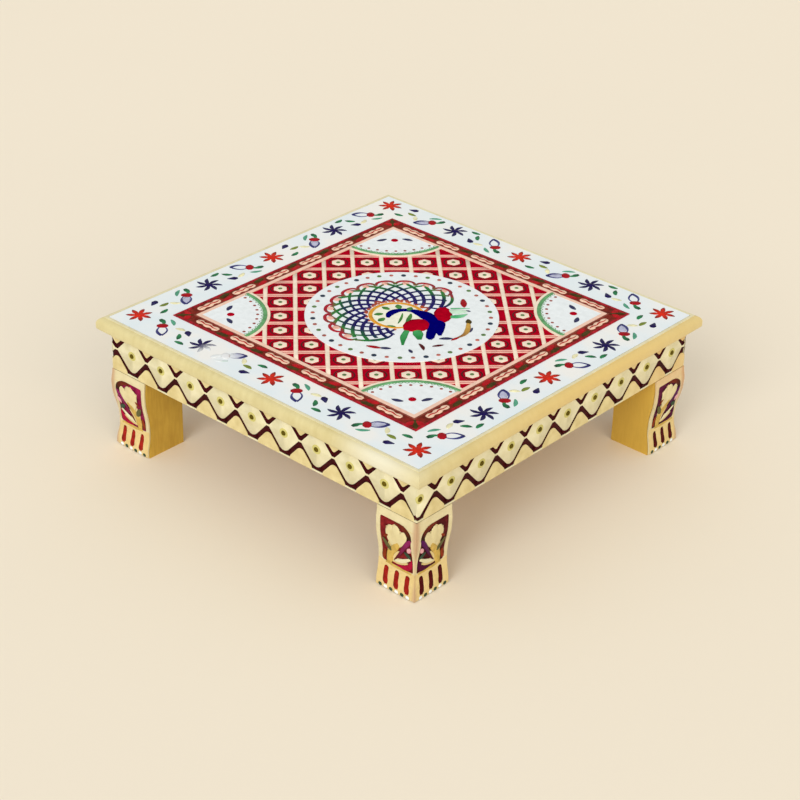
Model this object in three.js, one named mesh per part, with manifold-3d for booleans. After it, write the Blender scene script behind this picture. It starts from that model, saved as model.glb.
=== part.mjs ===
// Low square table (bajot or chowki): a plywood top faced with an enamelled metal sheet and edged
// with mitred half-round beading, a mitred apron wrapped in embossed metal strip, and four short
// shaped legs whose two outer faces carry embossed plates. Wood screws hold the wooden pieces.
// Lengths are in millimetres, +Z is up, and the origin is on the floor under the table's centre.
// The front is the -Y side. Side pieces are drawn on the front side and corner pieces on the
// corner at +X +Y, and the others are quarter turns of them.

import * as THREE from "three";
import { mergeVertices } from "three/addons/utils/BufferGeometryUtils.js";
import Module from "manifold-3d";

// Overall sizes, and the gap left between two pieces that lie against each other
const TABLE_WIDTH = 305;
const TABLE_HEIGHT = 103;
const SEAT_GAP = 0.3;

// Top: board, enamelled sheet and half-round beading
const BOARD_THICKNESS = 9.5;
const ENAMEL_SHEET_THICKNESS = 0.8;
const BEAD_WIDTH = 6.5;
const BEAD_FILLET_WIDTH = 1.4;
const BEAD_FILLET_DROP = 0.5;
const BEAD_FOOT_SETBACK = 2.4;
const BEAD_NOSE_DROP = 5.4;

// Apron: mitred wooden rails behind an embossed metal strip
const APRON_SETBACK = 7.5;
const RAIL_HEIGHT = 30;
const RAIL_THICKNESS = 12;
const STRIP_THICKNESS = 0.6;
const STRIP_RELIEF = 0.6;

// Embossed pattern of the strip: a chain of lozenges, with arches below and gussets above
const LOZENGE_PITCH = 30.1;
const LOZENGE_HALF_HEIGHT = 12;
const LOZENGE_AXIS_DROP = 12.9;
const NECK_HALF_HEIGHT = 0.9;
const NECK_LENGTH = 2.4;
const BORDER_HEIGHT = 2;
const ARCH_HALF_WIDTH = 13.2;
const ARCH_HEIGHT = 10.8;
const ARCH_SHOULDER = 4.6;
const GUSSET_HALF_WIDTH = 9.6;
const GUSSET_DEPTH = 8;
const RELIEF_CHAMFER = 0.4;
const BOSS_RADIUS = 1.5;
const BOSS_CROWN_RADIUS = 0.8;
const BOSS_HEIGHT = 0.6;

// Legs: a square block, shaped on its two outer faces, with a post inside the apron
const LEG_WIDTH = 34;
const NECK_OUTSET = 0.6;
const KNEE_OUTSET = 1.4;
const ANKLE_INSET = 2;
const FOOT_OUTSET = 0.2;
const KNEE_DROP = 10.8;
const ANKLE_HEIGHT = 21;

// Embossed plates on the legs, with a sunk panel over three toe slots
const PLATE_THICKNESS = 0.6;
const PLATE_RELIEF = 0.6;
const PLATE_SIDE_MARGIN = 0.5;
const PLATE_FOOT_MARGIN = 0.8;
const PANEL_SIDE_BORDER = 3.6;
const PANEL_TOP_BORDER = 5.8;
const PANEL_BOTTOM_HEIGHT = 20;
const PANEL_CORNER_RADIUS = 2;
const PANEL_ARCH_RADIUS = 10;
const TOE_SLOT_COUNT = 3;
const TOE_SLOT_WIDTH = 3.8;
const TOE_SLOT_TOP = 17;
const TOE_SLOT_BOTTOM = 4.8;
const TOE_SLOT_SPACING = 9.2;

// Flower in the leg panel: a lobed head on a tapering calyx, a long leaf and a side leaf
const FLOWER_ROOT_INSET = 6;
const FLOWER_ROOT_RISE = 3;
const HEAD_RADIUS = 7;
const HEAD_LOBE_DEPTH = 1;
const HEAD_LOBES = 6;
const HEAD_CENTRE_DROP = 10.5;
const HEAD_CENTRE_SHIFT = 1;
const CALYX_HALF_WIDTH = 3.4;
const LONG_LEAF_LENGTH = 17;
const LONG_LEAF_HALF_WIDTH = 2.2;
const LONG_LEAF_ANGLE = Math.PI / 18;
const SIDE_LEAF_LENGTH = 15;
const SIDE_LEAF_HALF_WIDTH = 1.8;
const SIDE_LEAF_ANGLE = Math.PI / 4;

// Countersunk wood screws
const LEG_SCREW = { radius: 2, headRadius: 4, headDepth: 2.4, length: 32, tipLength: 5 };
const RAIL_SCREW = { radius: 1.7, headRadius: 3.4, headDepth: 2, length: 26, tipLength: 4 };
const SCREW_SINK = 0.3;
const LEG_SCREW_EDGE = 5.5;
const RAIL_SCREW_EDGE = 5.5;
const RAIL_SCREW_STAGGER = 5;

// Sampling counts, and the lengths by which cutters overrun and joined solids run together
const FACE_STEPS = 5;
const BEAD_STEPS = 10;
const ARCH_STEPS = 4;
const CORNER_STEPS = 2;
const LEAF_STEPS = 5;
const HEAD_STEPS = 24;
const SCREW_STEPS = 12;
const BOSS_STEPS = 8;
const OVERRUN = 5;
const FUSE_DEPTH = 0.2;

// Places worked out from the sizes
const half = TABLE_WIDTH / 2;
const mitreGap = SEAT_GAP / Math.SQRT2;
const beadInner = half - BEAD_WIDTH;
const boardHalf = beadInner - SEAT_GAP;
const boardTop = TABLE_HEIGHT - ENAMEL_SHEET_THICKNESS - SEAT_GAP;
const boardBottom = boardTop - BOARD_THICKNESS;
const apronFace = half - APRON_SETBACK;
const stripFace = apronFace - STRIP_RELIEF;
const stripBack = stripFace - STRIP_THICKNESS;
const railOuter = stripBack - SEAT_GAP;
const railInner = railOuter - RAIL_THICKNESS;
const railTop = boardBottom - SEAT_GAP;
const railBottom = railTop - RAIL_HEIGHT;
const railMiddle = (railTop + railBottom) / 2;
const lozengeAxis = railTop - LOZENGE_AXIS_DROP;
const shoulder = railBottom - SEAT_GAP;
const legInner = apronFace - LEG_WIDTH;
const postOuter = railInner - SEAT_GAP;
const plateDepth = PLATE_THICKNESS + PLATE_RELIEF + SEAT_GAP;
const plateStart = legInner + PLATE_SIDE_MARGIN;
const plateReach = apronFace + OVERRUN;
const panelStart = legInner + PANEL_SIDE_BORDER;
const panelEnd = apronFace - PANEL_SIDE_BORDER;
const panelMiddle = (panelStart + panelEnd) / 2;
const panelTop = shoulder - PANEL_TOP_BORDER;

// One material for each finish
const finish = (color, roughness, metalness) =>
  new THREE.MeshStandardMaterial({ color, roughness, metalness });
const plywood = finish("#b98f5a", 0.7, 0);
const whiteEnamel = finish("#e6eff4", 0.25, 0);
const lightGold = finish("#e8d58f", 0.35, 0.4);
const darkGold = finish("#b3913a", 0.5, 0.3);
const embossedMetal = finish("#e4dcae", 0.35, 0.6);
const zincSteel = finish("#a8a9a6", 0.35, 0.9);

const wasm = await Module();
wasm.setup();

// A closed geometry as a solid that can be joined and cut.
function solid(geometry) {
  const bare = geometry.clone();
  bare.deleteAttribute("normal");
  bare.deleteAttribute("uv");
  const merged = mergeVertices(bare);
  const vertProperties = merged.getAttribute("position").array;
  const triVerts = new Uint32Array(merged.index.array);
  return new wasm.Manifold(new wasm.Mesh({ numProp: 3, vertProperties, triVerts }));
}

// A joined or cut solid as a geometry again.
function surface(made) {
  const mesh = made.getMesh();
  const geometry = new THREE.BufferGeometry();
  geometry.setAttribute("position", new THREE.BufferAttribute(mesh.vertProperties, 3));
  geometry.setIndex(new THREE.BufferAttribute(mesh.triVerts, 1));
  const faceted = geometry.toNonIndexed();
  faceted.computeVertexNormals();
  return faceted;
}

function join(solids) {
  return solids.reduce((whole, piece) => whole.add(piece));
}

function polygon(points) {
  return new THREE.Shape(points.map(([x, y]) => new THREE.Vector2(x, y)));
}

// A shape drawn in plan, extruded upwards from one height to another.
function prism(shape, bottom, top) {
  const settings = { depth: top - bottom, bevelEnabled: false };
  return new THREE.ExtrudeGeometry(shape, settings).translate(0, 0, bottom);
}

const X_AXIS = new THREE.Vector3(1, 0, 0);
const Y_AXIS = new THREE.Vector3(0, 1, 0);
const Z_AXIS = new THREE.Vector3(0, 0, 1);

// Stands a drawing on a face that looks along +X, with its x along +Y and its y upwards.
function standOnFace(geometry, distance, place = 0, height = 0) {
  const matrix = new THREE.Matrix4().makeBasis(Y_AXIS, Z_AXIS, X_AXIS);
  return geometry.applyMatrix4(matrix.setPosition(distance, place, height));
}

// Sweeps a section, drawn as (distance from the axis, height), along +Y between two places.
function sweepAlongFace(section, from, to) {
  const swept = new THREE.ExtrudeGeometry(section, { depth: to - from, bevelEnabled: false });
  const matrix = new THREE.Matrix4().makeBasis(X_AXIS, Z_AXIS, Y_AXIS.clone().negate());
  return swept.applyMatrix4(matrix.setPosition(0, to, 0));
}

// The same piece on the corner's other face: x and y change places, and triangles turn over.
function mirrored(geometry) {
  const flat = geometry.index ? geometry.toNonIndexed() : geometry;
  const from = flat.getAttribute("position");
  const to = from.clone();
  const order = [0, 2, 1];
  for (let i = 0; i < from.count; i += 1) {
    const source = i - (i % 3) + order[i % 3];
    to.setXYZ(i, from.getY(source), from.getX(source), from.getZ(source));
  }
  const turned = new THREE.BufferGeometry().setAttribute("position", to);
  turned.computeVertexNormals();
  return turned;
}

// A bar along the front side, with both ends mitred on the table's diagonals. Its section is
// drawn as (distance from the table's axis, height).
function mitredBar(section, curveSegments) {
  const bar = new THREE.ExtrudeGeometry(section, { depth: 1, bevelEnabled: false, curveSegments });
  const position = bar.getAttribute("position");
  for (let i = 0; i < position.count; i += 1) {
    const out = position.getX(i);
    const reach = out - mitreGap;
    const along = position.getZ(i) > 0 ? -reach : reach;
    position.setXYZ(i, along, -out, position.getY(i));
  }
  bar.computeVertexNormals();
  return bar;
}

// A countersunk screw, from its head at the origin down to its tip. A clearance makes it a
// cutter for its own hole, which then runs on above the head.
function screw(size, clearance) {
  const headTop = clearance > 0 ? OVERRUN : 0;
  const shank = size.radius + clearance;
  const head = size.headRadius + clearance;
  const outline = [
    [0, -size.length - clearance],
    [shank, size.tipLength - size.length],
    [shank, -size.headDepth],
    [head, 0],
    [head, headTop],
    [0, headTop],
  ];
  const points = outline
    .filter(([r, z], i) => i === 0 || r !== outline[i - 1][0] || z !== outline[i - 1][1])
    .map(([r, z]) => new THREE.Vector2(r, z));
  return new THREE.LatheGeometry(points, SCREW_STEPS).rotateX(Math.PI / 2);
}

// One screw goes down through the board into a leg's post.
function legScrew(clearance = 0) {
  const place = postOuter - LEG_SCREW_EDGE;
  return screw(LEG_SCREW, clearance).translate(place, place, boardTop - SCREW_SINK);
}

// One screw goes in through each rail into the post. The two are staggered, so that they pass.
function railScrew(clearance = 0, stagger = RAIL_SCREW_STAGGER) {
  const laid = screw(RAIL_SCREW, clearance).rotateY(Math.PI / 2);
  const place = legInner + RAIL_SCREW_EDGE;
  return laid.translate(railOuter - SCREW_SINK, place, railMiddle + stagger);
}

function otherRailScrew(clearance = 0) {
  return mirrored(railScrew(clearance, -RAIL_SCREW_STAGGER));
}

// The plywood top, bored for the four leg screws.
function topBoard() {
  const width = 2 * boardHalf;
  const box = new THREE.BoxGeometry(width, width, BOARD_THICKNESS);
  let board = solid(box.translate(0, 0, boardBottom + BOARD_THICKNESS / 2));
  for (let turn = 0; turn < 4; turn += 1) {
    board = board.subtract(solid(legScrew(SEAT_GAP).rotateZ((turn * Math.PI) / 2)));
  }
  return surface(board);
}

function enamelSheet() {
  const width = 2 * boardHalf;
  const sheet = new THREE.BoxGeometry(width, width, ENAMEL_SHEET_THICKNESS);
  return sheet.translate(0, 0, TABLE_HEIGHT - ENAMEL_SHEET_THICKNESS / 2);
}

// Half-round beading: a flat fillet beside the sheet, a quirk, and a full round nose.
function edgeBeading() {
  const filletEdge = beadInner + BEAD_FILLET_WIDTH;
  const roundTop = TABLE_HEIGHT - BEAD_FILLET_DROP;
  const noseHeight = TABLE_HEIGHT - BEAD_NOSE_DROP;
  const section = new THREE.Shape();
  section.moveTo(beadInner, boardBottom);
  section.lineTo(half - BEAD_FOOT_SETBACK, boardBottom);
  section.quadraticCurveTo(half, boardBottom, half, noseHeight);
  section.quadraticCurveTo(half, roundTop, filletEdge, roundTop);
  section.lineTo(filletEdge, TABLE_HEIGHT);
  section.lineTo(beadInner, TABLE_HEIGHT);
  return mitredBar(section, BEAD_STEPS);
}

// A mitred apron rail, bored for the screws into its two leg posts.
function apronRail() {
  const section = polygon([
    [railInner, railBottom],
    [railOuter, railBottom],
    [railOuter, railTop],
    [railInner, railTop],
  ]);
  const atRightEnd = solid(railScrew(SEAT_GAP).rotateZ(-Math.PI / 2));
  const atLeftEnd = solid(otherRailScrew(SEAT_GAP).rotateZ(Math.PI));
  return surface(solid(mitredBar(section)).subtract(atRightEnd).subtract(atLeftEnd));
}

// A shape drawn on a face, raised above the strip with a chamfered edge.
function embossed(shape, curveSegments = ARCH_STEPS) {
  const settings = {
    depth: FUSE_DEPTH,
    bevelThickness: STRIP_RELIEF,
    bevelSize: RELIEF_CHAMFER,
    bevelOffset: -RELIEF_CHAMFER,
    bevelSegments: 1,
    curveSegments,
  };
  return new THREE.ExtrudeGeometry(shape, settings).translate(0, 0, -FUSE_DEPTH);
}

// One lozenge of the chain. Its side tips end in necks that run into the next lozenges.
function lozengeShape() {
  const reach = LOZENGE_PITCH / 2 + RELIEF_CHAMFER + FUSE_DEPTH;
  const neckStart = (LOZENGE_PITCH - NECK_LENGTH) / 2;
  return polygon([
    [0, -LOZENGE_HALF_HEIGHT],
    [neckStart, -NECK_HALF_HEIGHT],
    [reach, -NECK_HALF_HEIGHT],
    [reach, NECK_HALF_HEIGHT],
    [neckStart, NECK_HALF_HEIGHT],
    [0, LOZENGE_HALF_HEIGHT],
    [-neckStart, NECK_HALF_HEIGHT],
    [-reach, NECK_HALF_HEIGHT],
    [-reach, -NECK_HALF_HEIGHT],
    [-neckStart, -NECK_HALF_HEIGHT],
  ]);
}

// A round-headed arch that stands on the bottom border, under two lozenges' necks.
function archShape() {
  const base = railBottom - lozengeAxis - OVERRUN;
  const spring = railBottom + BORDER_HEIGHT - lozengeAxis;
  const crown = spring + ARCH_HEIGHT;
  const arch = new THREE.Shape();
  arch.moveTo(-ARCH_HALF_WIDTH, base);
  arch.lineTo(ARCH_HALF_WIDTH, base);
  arch.lineTo(ARCH_HALF_WIDTH, spring);
  arch.quadraticCurveTo(ARCH_SHOULDER, crown, 0, crown);
  arch.quadraticCurveTo(-ARCH_SHOULDER, crown, -ARCH_HALF_WIDTH, spring);
  return arch;
}

// A gusset that hangs from the strip's top edge between two lozenges.
function gussetShape() {
  const edge = railTop - lozengeAxis;
  return polygon([
    [0, edge - GUSSET_DEPTH],
    [GUSSET_HALF_WIDTH, edge],
    [GUSSET_HALF_WIDTH, edge + OVERRUN],
    [-GUSSET_HALF_WIDTH, edge + OVERRUN],
    [-GUSSET_HALF_WIDTH, edge],
  ]);
}

// The raised pattern of one face, counted back from a lozenge on the corner itself.
function facePattern() {
  const pieces = [];
  const count = Math.ceil((2 * apronFace) / LOZENGE_PITCH);
  for (let i = 0; i <= count; i += 1) {
    const place = apronFace - i * LOZENGE_PITCH;
    const between = place - LOZENGE_PITCH / 2;
    pieces.push(standOnFace(embossed(lozengeShape()), stripFace, place, lozengeAxis));
    pieces.push(standOnFace(embossed(archShape()), stripFace, between, lozengeAxis));
    pieces.push(standOnFace(embossed(gussetShape()), stripFace, between, lozengeAxis));
  }
  const border = polygon([
    [-plateReach, railBottom - OVERRUN],
    [plateReach, railBottom - OVERRUN],
    [plateReach, railBottom + BORDER_HEIGHT],
    [-plateReach, railBottom + BORDER_HEIGHT],
  ]);
  pieces.push(standOnFace(embossed(border), stripFace));
  return pieces;
}

// The domed bosses in the middle of the lozenges, apart from the one that is folded.
function faceBosses() {
  const outline = [
    [0, -FUSE_DEPTH],
    [BOSS_RADIUS, -FUSE_DEPTH],
    [BOSS_RADIUS, 0],
    [BOSS_CROWN_RADIUS, BOSS_HEIGHT],
    [0, BOSS_HEIGHT],
  ];
  const points = outline.map(([r, z]) => new THREE.Vector2(r, z));
  const pieces = [];
  const end = BOSS_RADIUS - stripBack;
  for (let place = apronFace - LOZENGE_PITCH; place > end; place -= LOZENGE_PITCH) {
    const dome = new THREE.LatheGeometry(points, BOSS_STEPS).rotateX(Math.PI / 2);
    pieces.push(standOnFace(dome, apronFace, place, lozengeAxis));
  }
  return pieces;
}

// An L-shaped outline in plan that wraps the corner. Its long arm covers the far corner, and
// its short arm ends behind the other strip's long arm.
function wrapOutline(inner, outer) {
  const longEnd = -apronFace;
  const shortEnd = SEAT_GAP - stripBack;
  return polygon([
    [inner, longEnd],
    [outer, longEnd],
    [outer, outer],
    [shortEnd, outer],
    [shortEnd, inner],
    [inner, inner],
  ]);
}

// The embossed strip, bent round one corner, with a lozenge folded over the bend.
function apronStrip() {
  const base = solid(prism(wrapOutline(stripBack, stripFace), railBottom, railTop));
  const room = solid(prism(wrapOutline(stripFace - FUSE_DEPTH, apronFace), railBottom, railTop));
  const onBothFaces = (pieces) => join([...pieces, ...pieces.map(mirrored)].map(solid));
  const pattern = onBothFaces(facePattern()).intersect(room);
  return surface(join([base, pattern, onBothFaces(faceBosses())]));
}

// A leg's shaped face from the floor up, as (distance from the axis, height): it flares at the
// foot, draws in at the ankle and swells at the knee.
function faceCurve(inset) {
  const stations = [
    [FOOT_OUTSET, 0],
    [-ANKLE_INSET, ANKLE_HEIGHT],
    [KNEE_OUTSET, shoulder - KNEE_DROP],
    [NECK_OUTSET, shoulder],
  ];
  const points = [];
  for (let i = 1; i < stations.length; i += 1) {
    const [lowerOut, lower] = stations[i - 1];
    const [upperOut, upper] = stations[i];
    const middle = (lower + upper) / 2;
    const start = new THREE.Vector2(apronFace - inset + lowerOut, lower);
    const finish = new THREE.Vector2(apronFace - inset + upperOut, upper);
    const leave = new THREE.Vector2(start.x, middle);
    const arrive = new THREE.Vector2(finish.x, middle);
    const stretch = new THREE.CubicBezierCurve(start, leave, arrive, finish).getPoints(FACE_STEPS);
    points.push(...(i === 1 ? stretch : stretch.slice(1)));
  }
  return points;
}

// A leg, shaped on both outer faces, with its post and the pilot holes of its three screws.
function leg() {
  const innerFace = [new THREE.Vector2(legInner, shoulder), new THREE.Vector2(legInner, 0)];
  const section = new THREE.Shape([...faceCurve(plateDepth), ...innerFace]);
  const swept = sweepAlongFace(section, legInner, plateReach);
  const block = solid(swept).intersect(solid(mirrored(swept)));
  const postOutline = polygon([
    [legInner, legInner],
    [postOuter, legInner],
    [postOuter, postOuter],
    [legInner, postOuter],
  ]);
  const post = solid(prism(postOutline, shoulder - FUSE_DEPTH, railTop));
  const holes = [legScrew, railScrew, otherRailScrew].map((place) => solid(place(SEAT_GAP)));
  return surface(holes.reduce((cut, hole) => cut.subtract(hole), join([block, post])));
}

// The sunk panel, a rectangle whose top is arched over towards the table's corner.
function panelShape() {
  const r = PANEL_CORNER_RADIUS;
  const arch = PANEL_ARCH_RADIUS;
  const outline = new THREE.Shape();
  outline.moveTo(panelStart + r, PANEL_BOTTOM_HEIGHT);
  outline.lineTo(panelEnd - r, PANEL_BOTTOM_HEIGHT);
  outline.quadraticCurveTo(panelEnd, PANEL_BOTTOM_HEIGHT, panelEnd, PANEL_BOTTOM_HEIGHT + r);
  outline.lineTo(panelEnd, panelTop - arch);
  outline.quadraticCurveTo(panelEnd, panelTop, panelEnd - arch, panelTop);
  outline.lineTo(panelStart + r, panelTop);
  outline.quadraticCurveTo(panelStart, panelTop, panelStart, panelTop - r);
  outline.lineTo(panelStart, PANEL_BOTTOM_HEIGHT + r);
  outline.quadraticCurveTo(panelStart, PANEL_BOTTOM_HEIGHT, panelStart + r, PANEL_BOTTOM_HEIGHT);
  return outline;
}

// One slot between two toes, with a round head.
function toeSlotShape(place) {
  const radius = TOE_SLOT_WIDTH / 2;
  const outline = new THREE.Shape();
  outline.moveTo(place - radius, TOE_SLOT_BOTTOM);
  outline.lineTo(place + radius, TOE_SLOT_BOTTOM);
  outline.lineTo(place + radius, TOE_SLOT_TOP - radius);
  outline.absarc(place, TOE_SLOT_TOP - radius, radius, 0, Math.PI, false);
  return outline;
}

// The parts of the plate that lie below its raised border.
function sunkShapes() {
  const shapes = [panelShape()];
  for (let i = 0; i < TOE_SLOT_COUNT; i += 1) {
    const place = panelMiddle + (i - (TOE_SLOT_COUNT - 1) / 2) * TOE_SLOT_SPACING;
    shapes.push(toeSlotShape(place));
  }
  return shapes;
}

// A pointed oval from a root, along an angle.
function leafShape(root, length, halfWidth, angle) {
  const along = new THREE.Vector2(Math.cos(angle), Math.sin(angle));
  const across = new THREE.Vector2(-along.y, along.x);
  const tip = root.clone().addScaledVector(along, length);
  const middle = root.clone().addScaledVector(along, length / 2);
  const right = middle.clone().addScaledVector(across, -2 * halfWidth);
  const left = middle.clone().addScaledVector(across, 2 * halfWidth);
  const shape = new THREE.Shape();
  shape.moveTo(root.x, root.y);
  shape.quadraticCurveTo(right.x, right.y, tip.x, tip.y);
  shape.quadraticCurveTo(left.x, left.y, root.x, root.y);
  return shape;
}

function lobedShape(centre, radius, lobeDepth, lobes) {
  const points = [];
  for (let i = 0; i < HEAD_STEPS; i += 1) {
    const angle = (i * 2 * Math.PI) / HEAD_STEPS;
    const r = radius + lobeDepth * Math.cos(lobes * (angle - Math.PI / 2));
    points.push([centre.x + r * Math.cos(angle), centre.y + r * Math.sin(angle)]);
  }
  return polygon(points);
}

// The flower in the panel. It grows from the side away from the table's corner.
function flowerShapes() {
  const rootHeight = PANEL_BOTTOM_HEIGHT + FLOWER_ROOT_RISE;
  const root = new THREE.Vector2(panelStart + FLOWER_ROOT_INSET, rootHeight);
  const head = new THREE.Vector2(panelMiddle - HEAD_CENTRE_SHIFT, panelTop - HEAD_CENTRE_DROP);
  const stem = head.clone().sub(root);
  return [
    lobedShape(head, HEAD_RADIUS, HEAD_LOBE_DEPTH, HEAD_LOBES),
    leafShape(root, stem.length(), CALYX_HALF_WIDTH, stem.angle()),
    leafShape(root, LONG_LEAF_LENGTH, LONG_LEAF_HALF_WIDTH, LONG_LEAF_ANGLE),
    leafShape(root, SIDE_LEAF_LENGTH, SIDE_LEAF_HALF_WIDTH, SIDE_LEAF_ANGLE),
  ];
}

// A drawing in (place along the face, height), run outwards right through a leg's face.
function throughFace(shape) {
  const settings = { depth: plateReach - legInner, bevelEnabled: false, curveSegments: LEAF_STEPS };
  return solid(standOnFace(new THREE.ExtrudeGeometry(shape, settings), legInner));
}

// The embossed plate of a leg face that looks along +X, mitred at the corner.
function legPlate() {
  const layer = (outer, inner) => {
    const band = new THREE.Shape([...faceCurve(outer), ...faceCurve(inner).reverse()]);
    return solid(sweepAlongFace(band, legInner, plateReach));
  };
  const outline = polygon([
    [plateStart + mitreGap, plateStart],
    [plateReach, plateStart],
    [plateReach, plateReach - mitreGap],
  ]);
  const room = solid(prism(outline, PLATE_FOOT_MARGIN, shoulder));
  const back = layer(PLATE_RELIEF, PLATE_RELIEF + PLATE_THICKNESS);
  const sunk = join(sunkShapes().map(throughFace)).subtract(join(flowerShapes().map(throughFace)));
  const front = layer(0, PLATE_RELIEF + FUSE_DEPTH).subtract(sunk);
  return surface(back.add(front).intersect(room));
}

// The table: each piece is drawn once, and its copies are quarter turns of it.
const table = new THREE.Group();

function add(name, geometry, material, turn = 0) {
  const mesh = new THREE.Mesh(geometry, material);
  mesh.name = name;
  mesh.rotation.z = (turn * Math.PI) / 2;
  table.add(mesh);
}

add("top_board", topBoard(), plywood);
add("enamel_top_sheet", enamelSheet(), whiteEnamel);

const SIDES = ["front", "right", "back", "left"];
const beading = edgeBeading();
const rail = apronRail();
SIDES.forEach((side, turn) => {
  add(`edge_beading_${side}`, beading, lightGold, turn);
  add(`apron_rail_${side}`, rail, darkGold, turn);
});

const CORNERS = ["back_right", "back_left", "front_left", "front_right"];
const strip = apronStrip();
add("apron_strip_back_left", strip, embossedMetal, CORNERS.indexOf("back_left"));
add("apron_strip_front_right", strip, embossedMetal, CORNERS.indexOf("front_right"));

const legBlock = leg();
const plate = legPlate();
const otherPlate = mirrored(plate);
CORNERS.forEach((corner, turn) => {
  const side = SIDES[(turn + 1) % 4];
  const nextSide = SIDES[(turn + 2) % 4];
  add(`leg_${corner}`, legBlock, darkGold, turn);
  add(`leg_plate_${corner}_${side}`, plate, embossedMetal, turn);
  add(`leg_plate_${corner}_${nextSide}`, otherPlate, embossedMetal, turn);
  add(`leg_screw_${corner}`, legScrew(), zincSteel, turn);
  add(`rail_screw_${corner}_${side}`, railScrew(), zincSteel, turn);
  add(`rail_screw_${corner}_${nextSide}`, otherRailScrew(), zincSteel, turn);
});

export default table;
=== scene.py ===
# %% [markdown]
# # A bajot: the low ceremonial table with an enamelled top
# A bajot is a square table about a hand high. Its wooden core comes from the CAD model and is
# loaded first, so that every new piece can take its place from it. The pieces that catch the
# eye are then made one at a time: the beading, the embossed skins of apron and legs, and the
# painted ornament of the top. All lengths below are in millimetres until a mesh is made.

# %% Load the frame and keep its size
import math

import bmesh
import bpy
from mathutils import Matrix, Quaternion, Vector
from mathutils.kdtree import KDTree


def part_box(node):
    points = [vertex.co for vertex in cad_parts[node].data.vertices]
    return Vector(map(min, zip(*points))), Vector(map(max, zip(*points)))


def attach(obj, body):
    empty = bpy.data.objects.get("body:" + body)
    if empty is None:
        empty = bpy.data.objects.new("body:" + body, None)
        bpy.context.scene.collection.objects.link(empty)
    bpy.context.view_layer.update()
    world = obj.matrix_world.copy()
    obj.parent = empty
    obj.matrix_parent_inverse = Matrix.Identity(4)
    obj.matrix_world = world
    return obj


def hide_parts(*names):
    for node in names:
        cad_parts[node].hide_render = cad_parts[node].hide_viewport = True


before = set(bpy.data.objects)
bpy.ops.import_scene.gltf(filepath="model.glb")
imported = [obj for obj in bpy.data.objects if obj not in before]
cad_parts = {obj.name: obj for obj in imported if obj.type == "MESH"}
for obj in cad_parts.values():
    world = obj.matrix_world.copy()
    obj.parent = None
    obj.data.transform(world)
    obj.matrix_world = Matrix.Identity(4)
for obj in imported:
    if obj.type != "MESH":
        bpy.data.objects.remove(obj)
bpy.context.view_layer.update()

MM = 0.001
QUARTER = math.pi / 2
SIDES = ["front", "right", "back", "left"]

# %% [markdown]
# ## The camera
# The photograph looks down on one corner from about chest height with a long lens. Its place
# was worked out from the corners of the top and the feet, so the render can be laid over it.

# %% Camera
CAMERA_PLACE = Vector((0.8459, -0.9599, 0.7666))
LOOK_AT = Vector((0.0184, -0.0204, 0.05))
LENS = 91.46
ROLL = math.radians(1.52)

camera = bpy.data.objects.new("photo_camera", bpy.data.cameras.new("photo_camera"))
bpy.context.collection.objects.link(camera)
camera.data.lens = LENS
camera.data.sensor_width = 36
camera.location = CAMERA_PLACE
camera.rotation_mode = "QUATERNION"
aim = (LOOK_AT - CAMERA_PLACE).to_track_quat("-Z", "Y")
camera.rotation_quaternion = aim @ Quaternion((0, 0, 1), ROLL)
bpy.context.scene.camera = camera
print("camera is", round((LOOK_AT - CAMERA_PLACE).length, 2), "m away")

# %% [markdown]
# ## Helpers for materials
# Every colour is written as the sRGB hex value that a paint program shows, and one function
# turns it to the linear values that Blender works with. One more adds a node with its settings
# and its links, so that a material reads as a list of what it is made of. Each material is then
# begun and ended in the same way: with its shader at first, with its colour and relief at last.

# %% Colour and node helpers
def linear(hexa):
    """An sRGB hex colour as the linear RGBA that a socket takes."""
    parts = [int(hexa[i:i + 2], 16) / 255 for i in (1, 3, 5)]
    lit = [p / 12.92 if p <= 0.04045 else ((p + 0.055) / 1.055) ** 2.4 for p in parts]
    return (*lit, 1)


def add(tree, kind, inputs=None, stops=None, **settings):
    """Adds a node: its settings, its input values or links, and a ramp's stops."""
    node = tree.nodes.new(kind)
    for key, value in settings.items():
        setattr(node, key, value)
    for key, value in (inputs or {}).items():
        if isinstance(value, bpy.types.NodeSocket):
            tree.links.new(value, node.inputs[key])
        else:
            node.inputs[key].default_value = value
    for i, (place, hexa) in enumerate(stops or []):
        elements = node.color_ramp.elements
        stop = elements[i] if i < 2 else elements.new(place)
        stop.position = place
        stop.color = linear(hexa)
    return node


def begin(name, **shader):
    """A new material with its tree, its shader and its object coordinates."""
    material = bpy.data.materials.new(name)
    material.use_nodes = True
    tree = material.node_tree
    surface = tree.nodes["Principled BSDF"]
    for key, value in shader.items():
        surface.inputs[key.replace("_", " ")].default_value = value
    place = add(tree, "ShaderNodeTexCoord").outputs["Object"]
    return material, tree, surface, place


def coat(tree, surface, colour, height, strength, depth):
    """Ends a material: its colour, and a relief of so many millimetres that follows height."""
    tree.links.new(colour, surface.inputs["Base Color"])
    relief = add(tree, "ShaderNodeBump",
                 {"Height": height, "Strength": strength, "Distance": depth * MM})
    tree.links.new(relief.outputs[0], surface.inputs["Normal"])


def per_mm(size):
    """The scale at which a texture repeats about every so many millimetres."""
    return 1 / (size * MM)


print("middle grey is", round(linear("#808080")[0], 3), "as a linear value")

# %% [markdown]
# ## Floor, light and surroundings
# The photograph was taken on a plain cream ground. The floor is one large sheet of matt paper
# in that cream, and the world around it has the same colour for the camera and for
# reflections, so no horizon shows. Three broad suns and an even sky light the table. A sun is
# chosen over a lamp close by, because it lights the whole floor alike and the ground stays even.

# %% Floor and world
CREAM_PAPER = "#EFE4CE"
SKY_STRENGTH = 0.64

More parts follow.
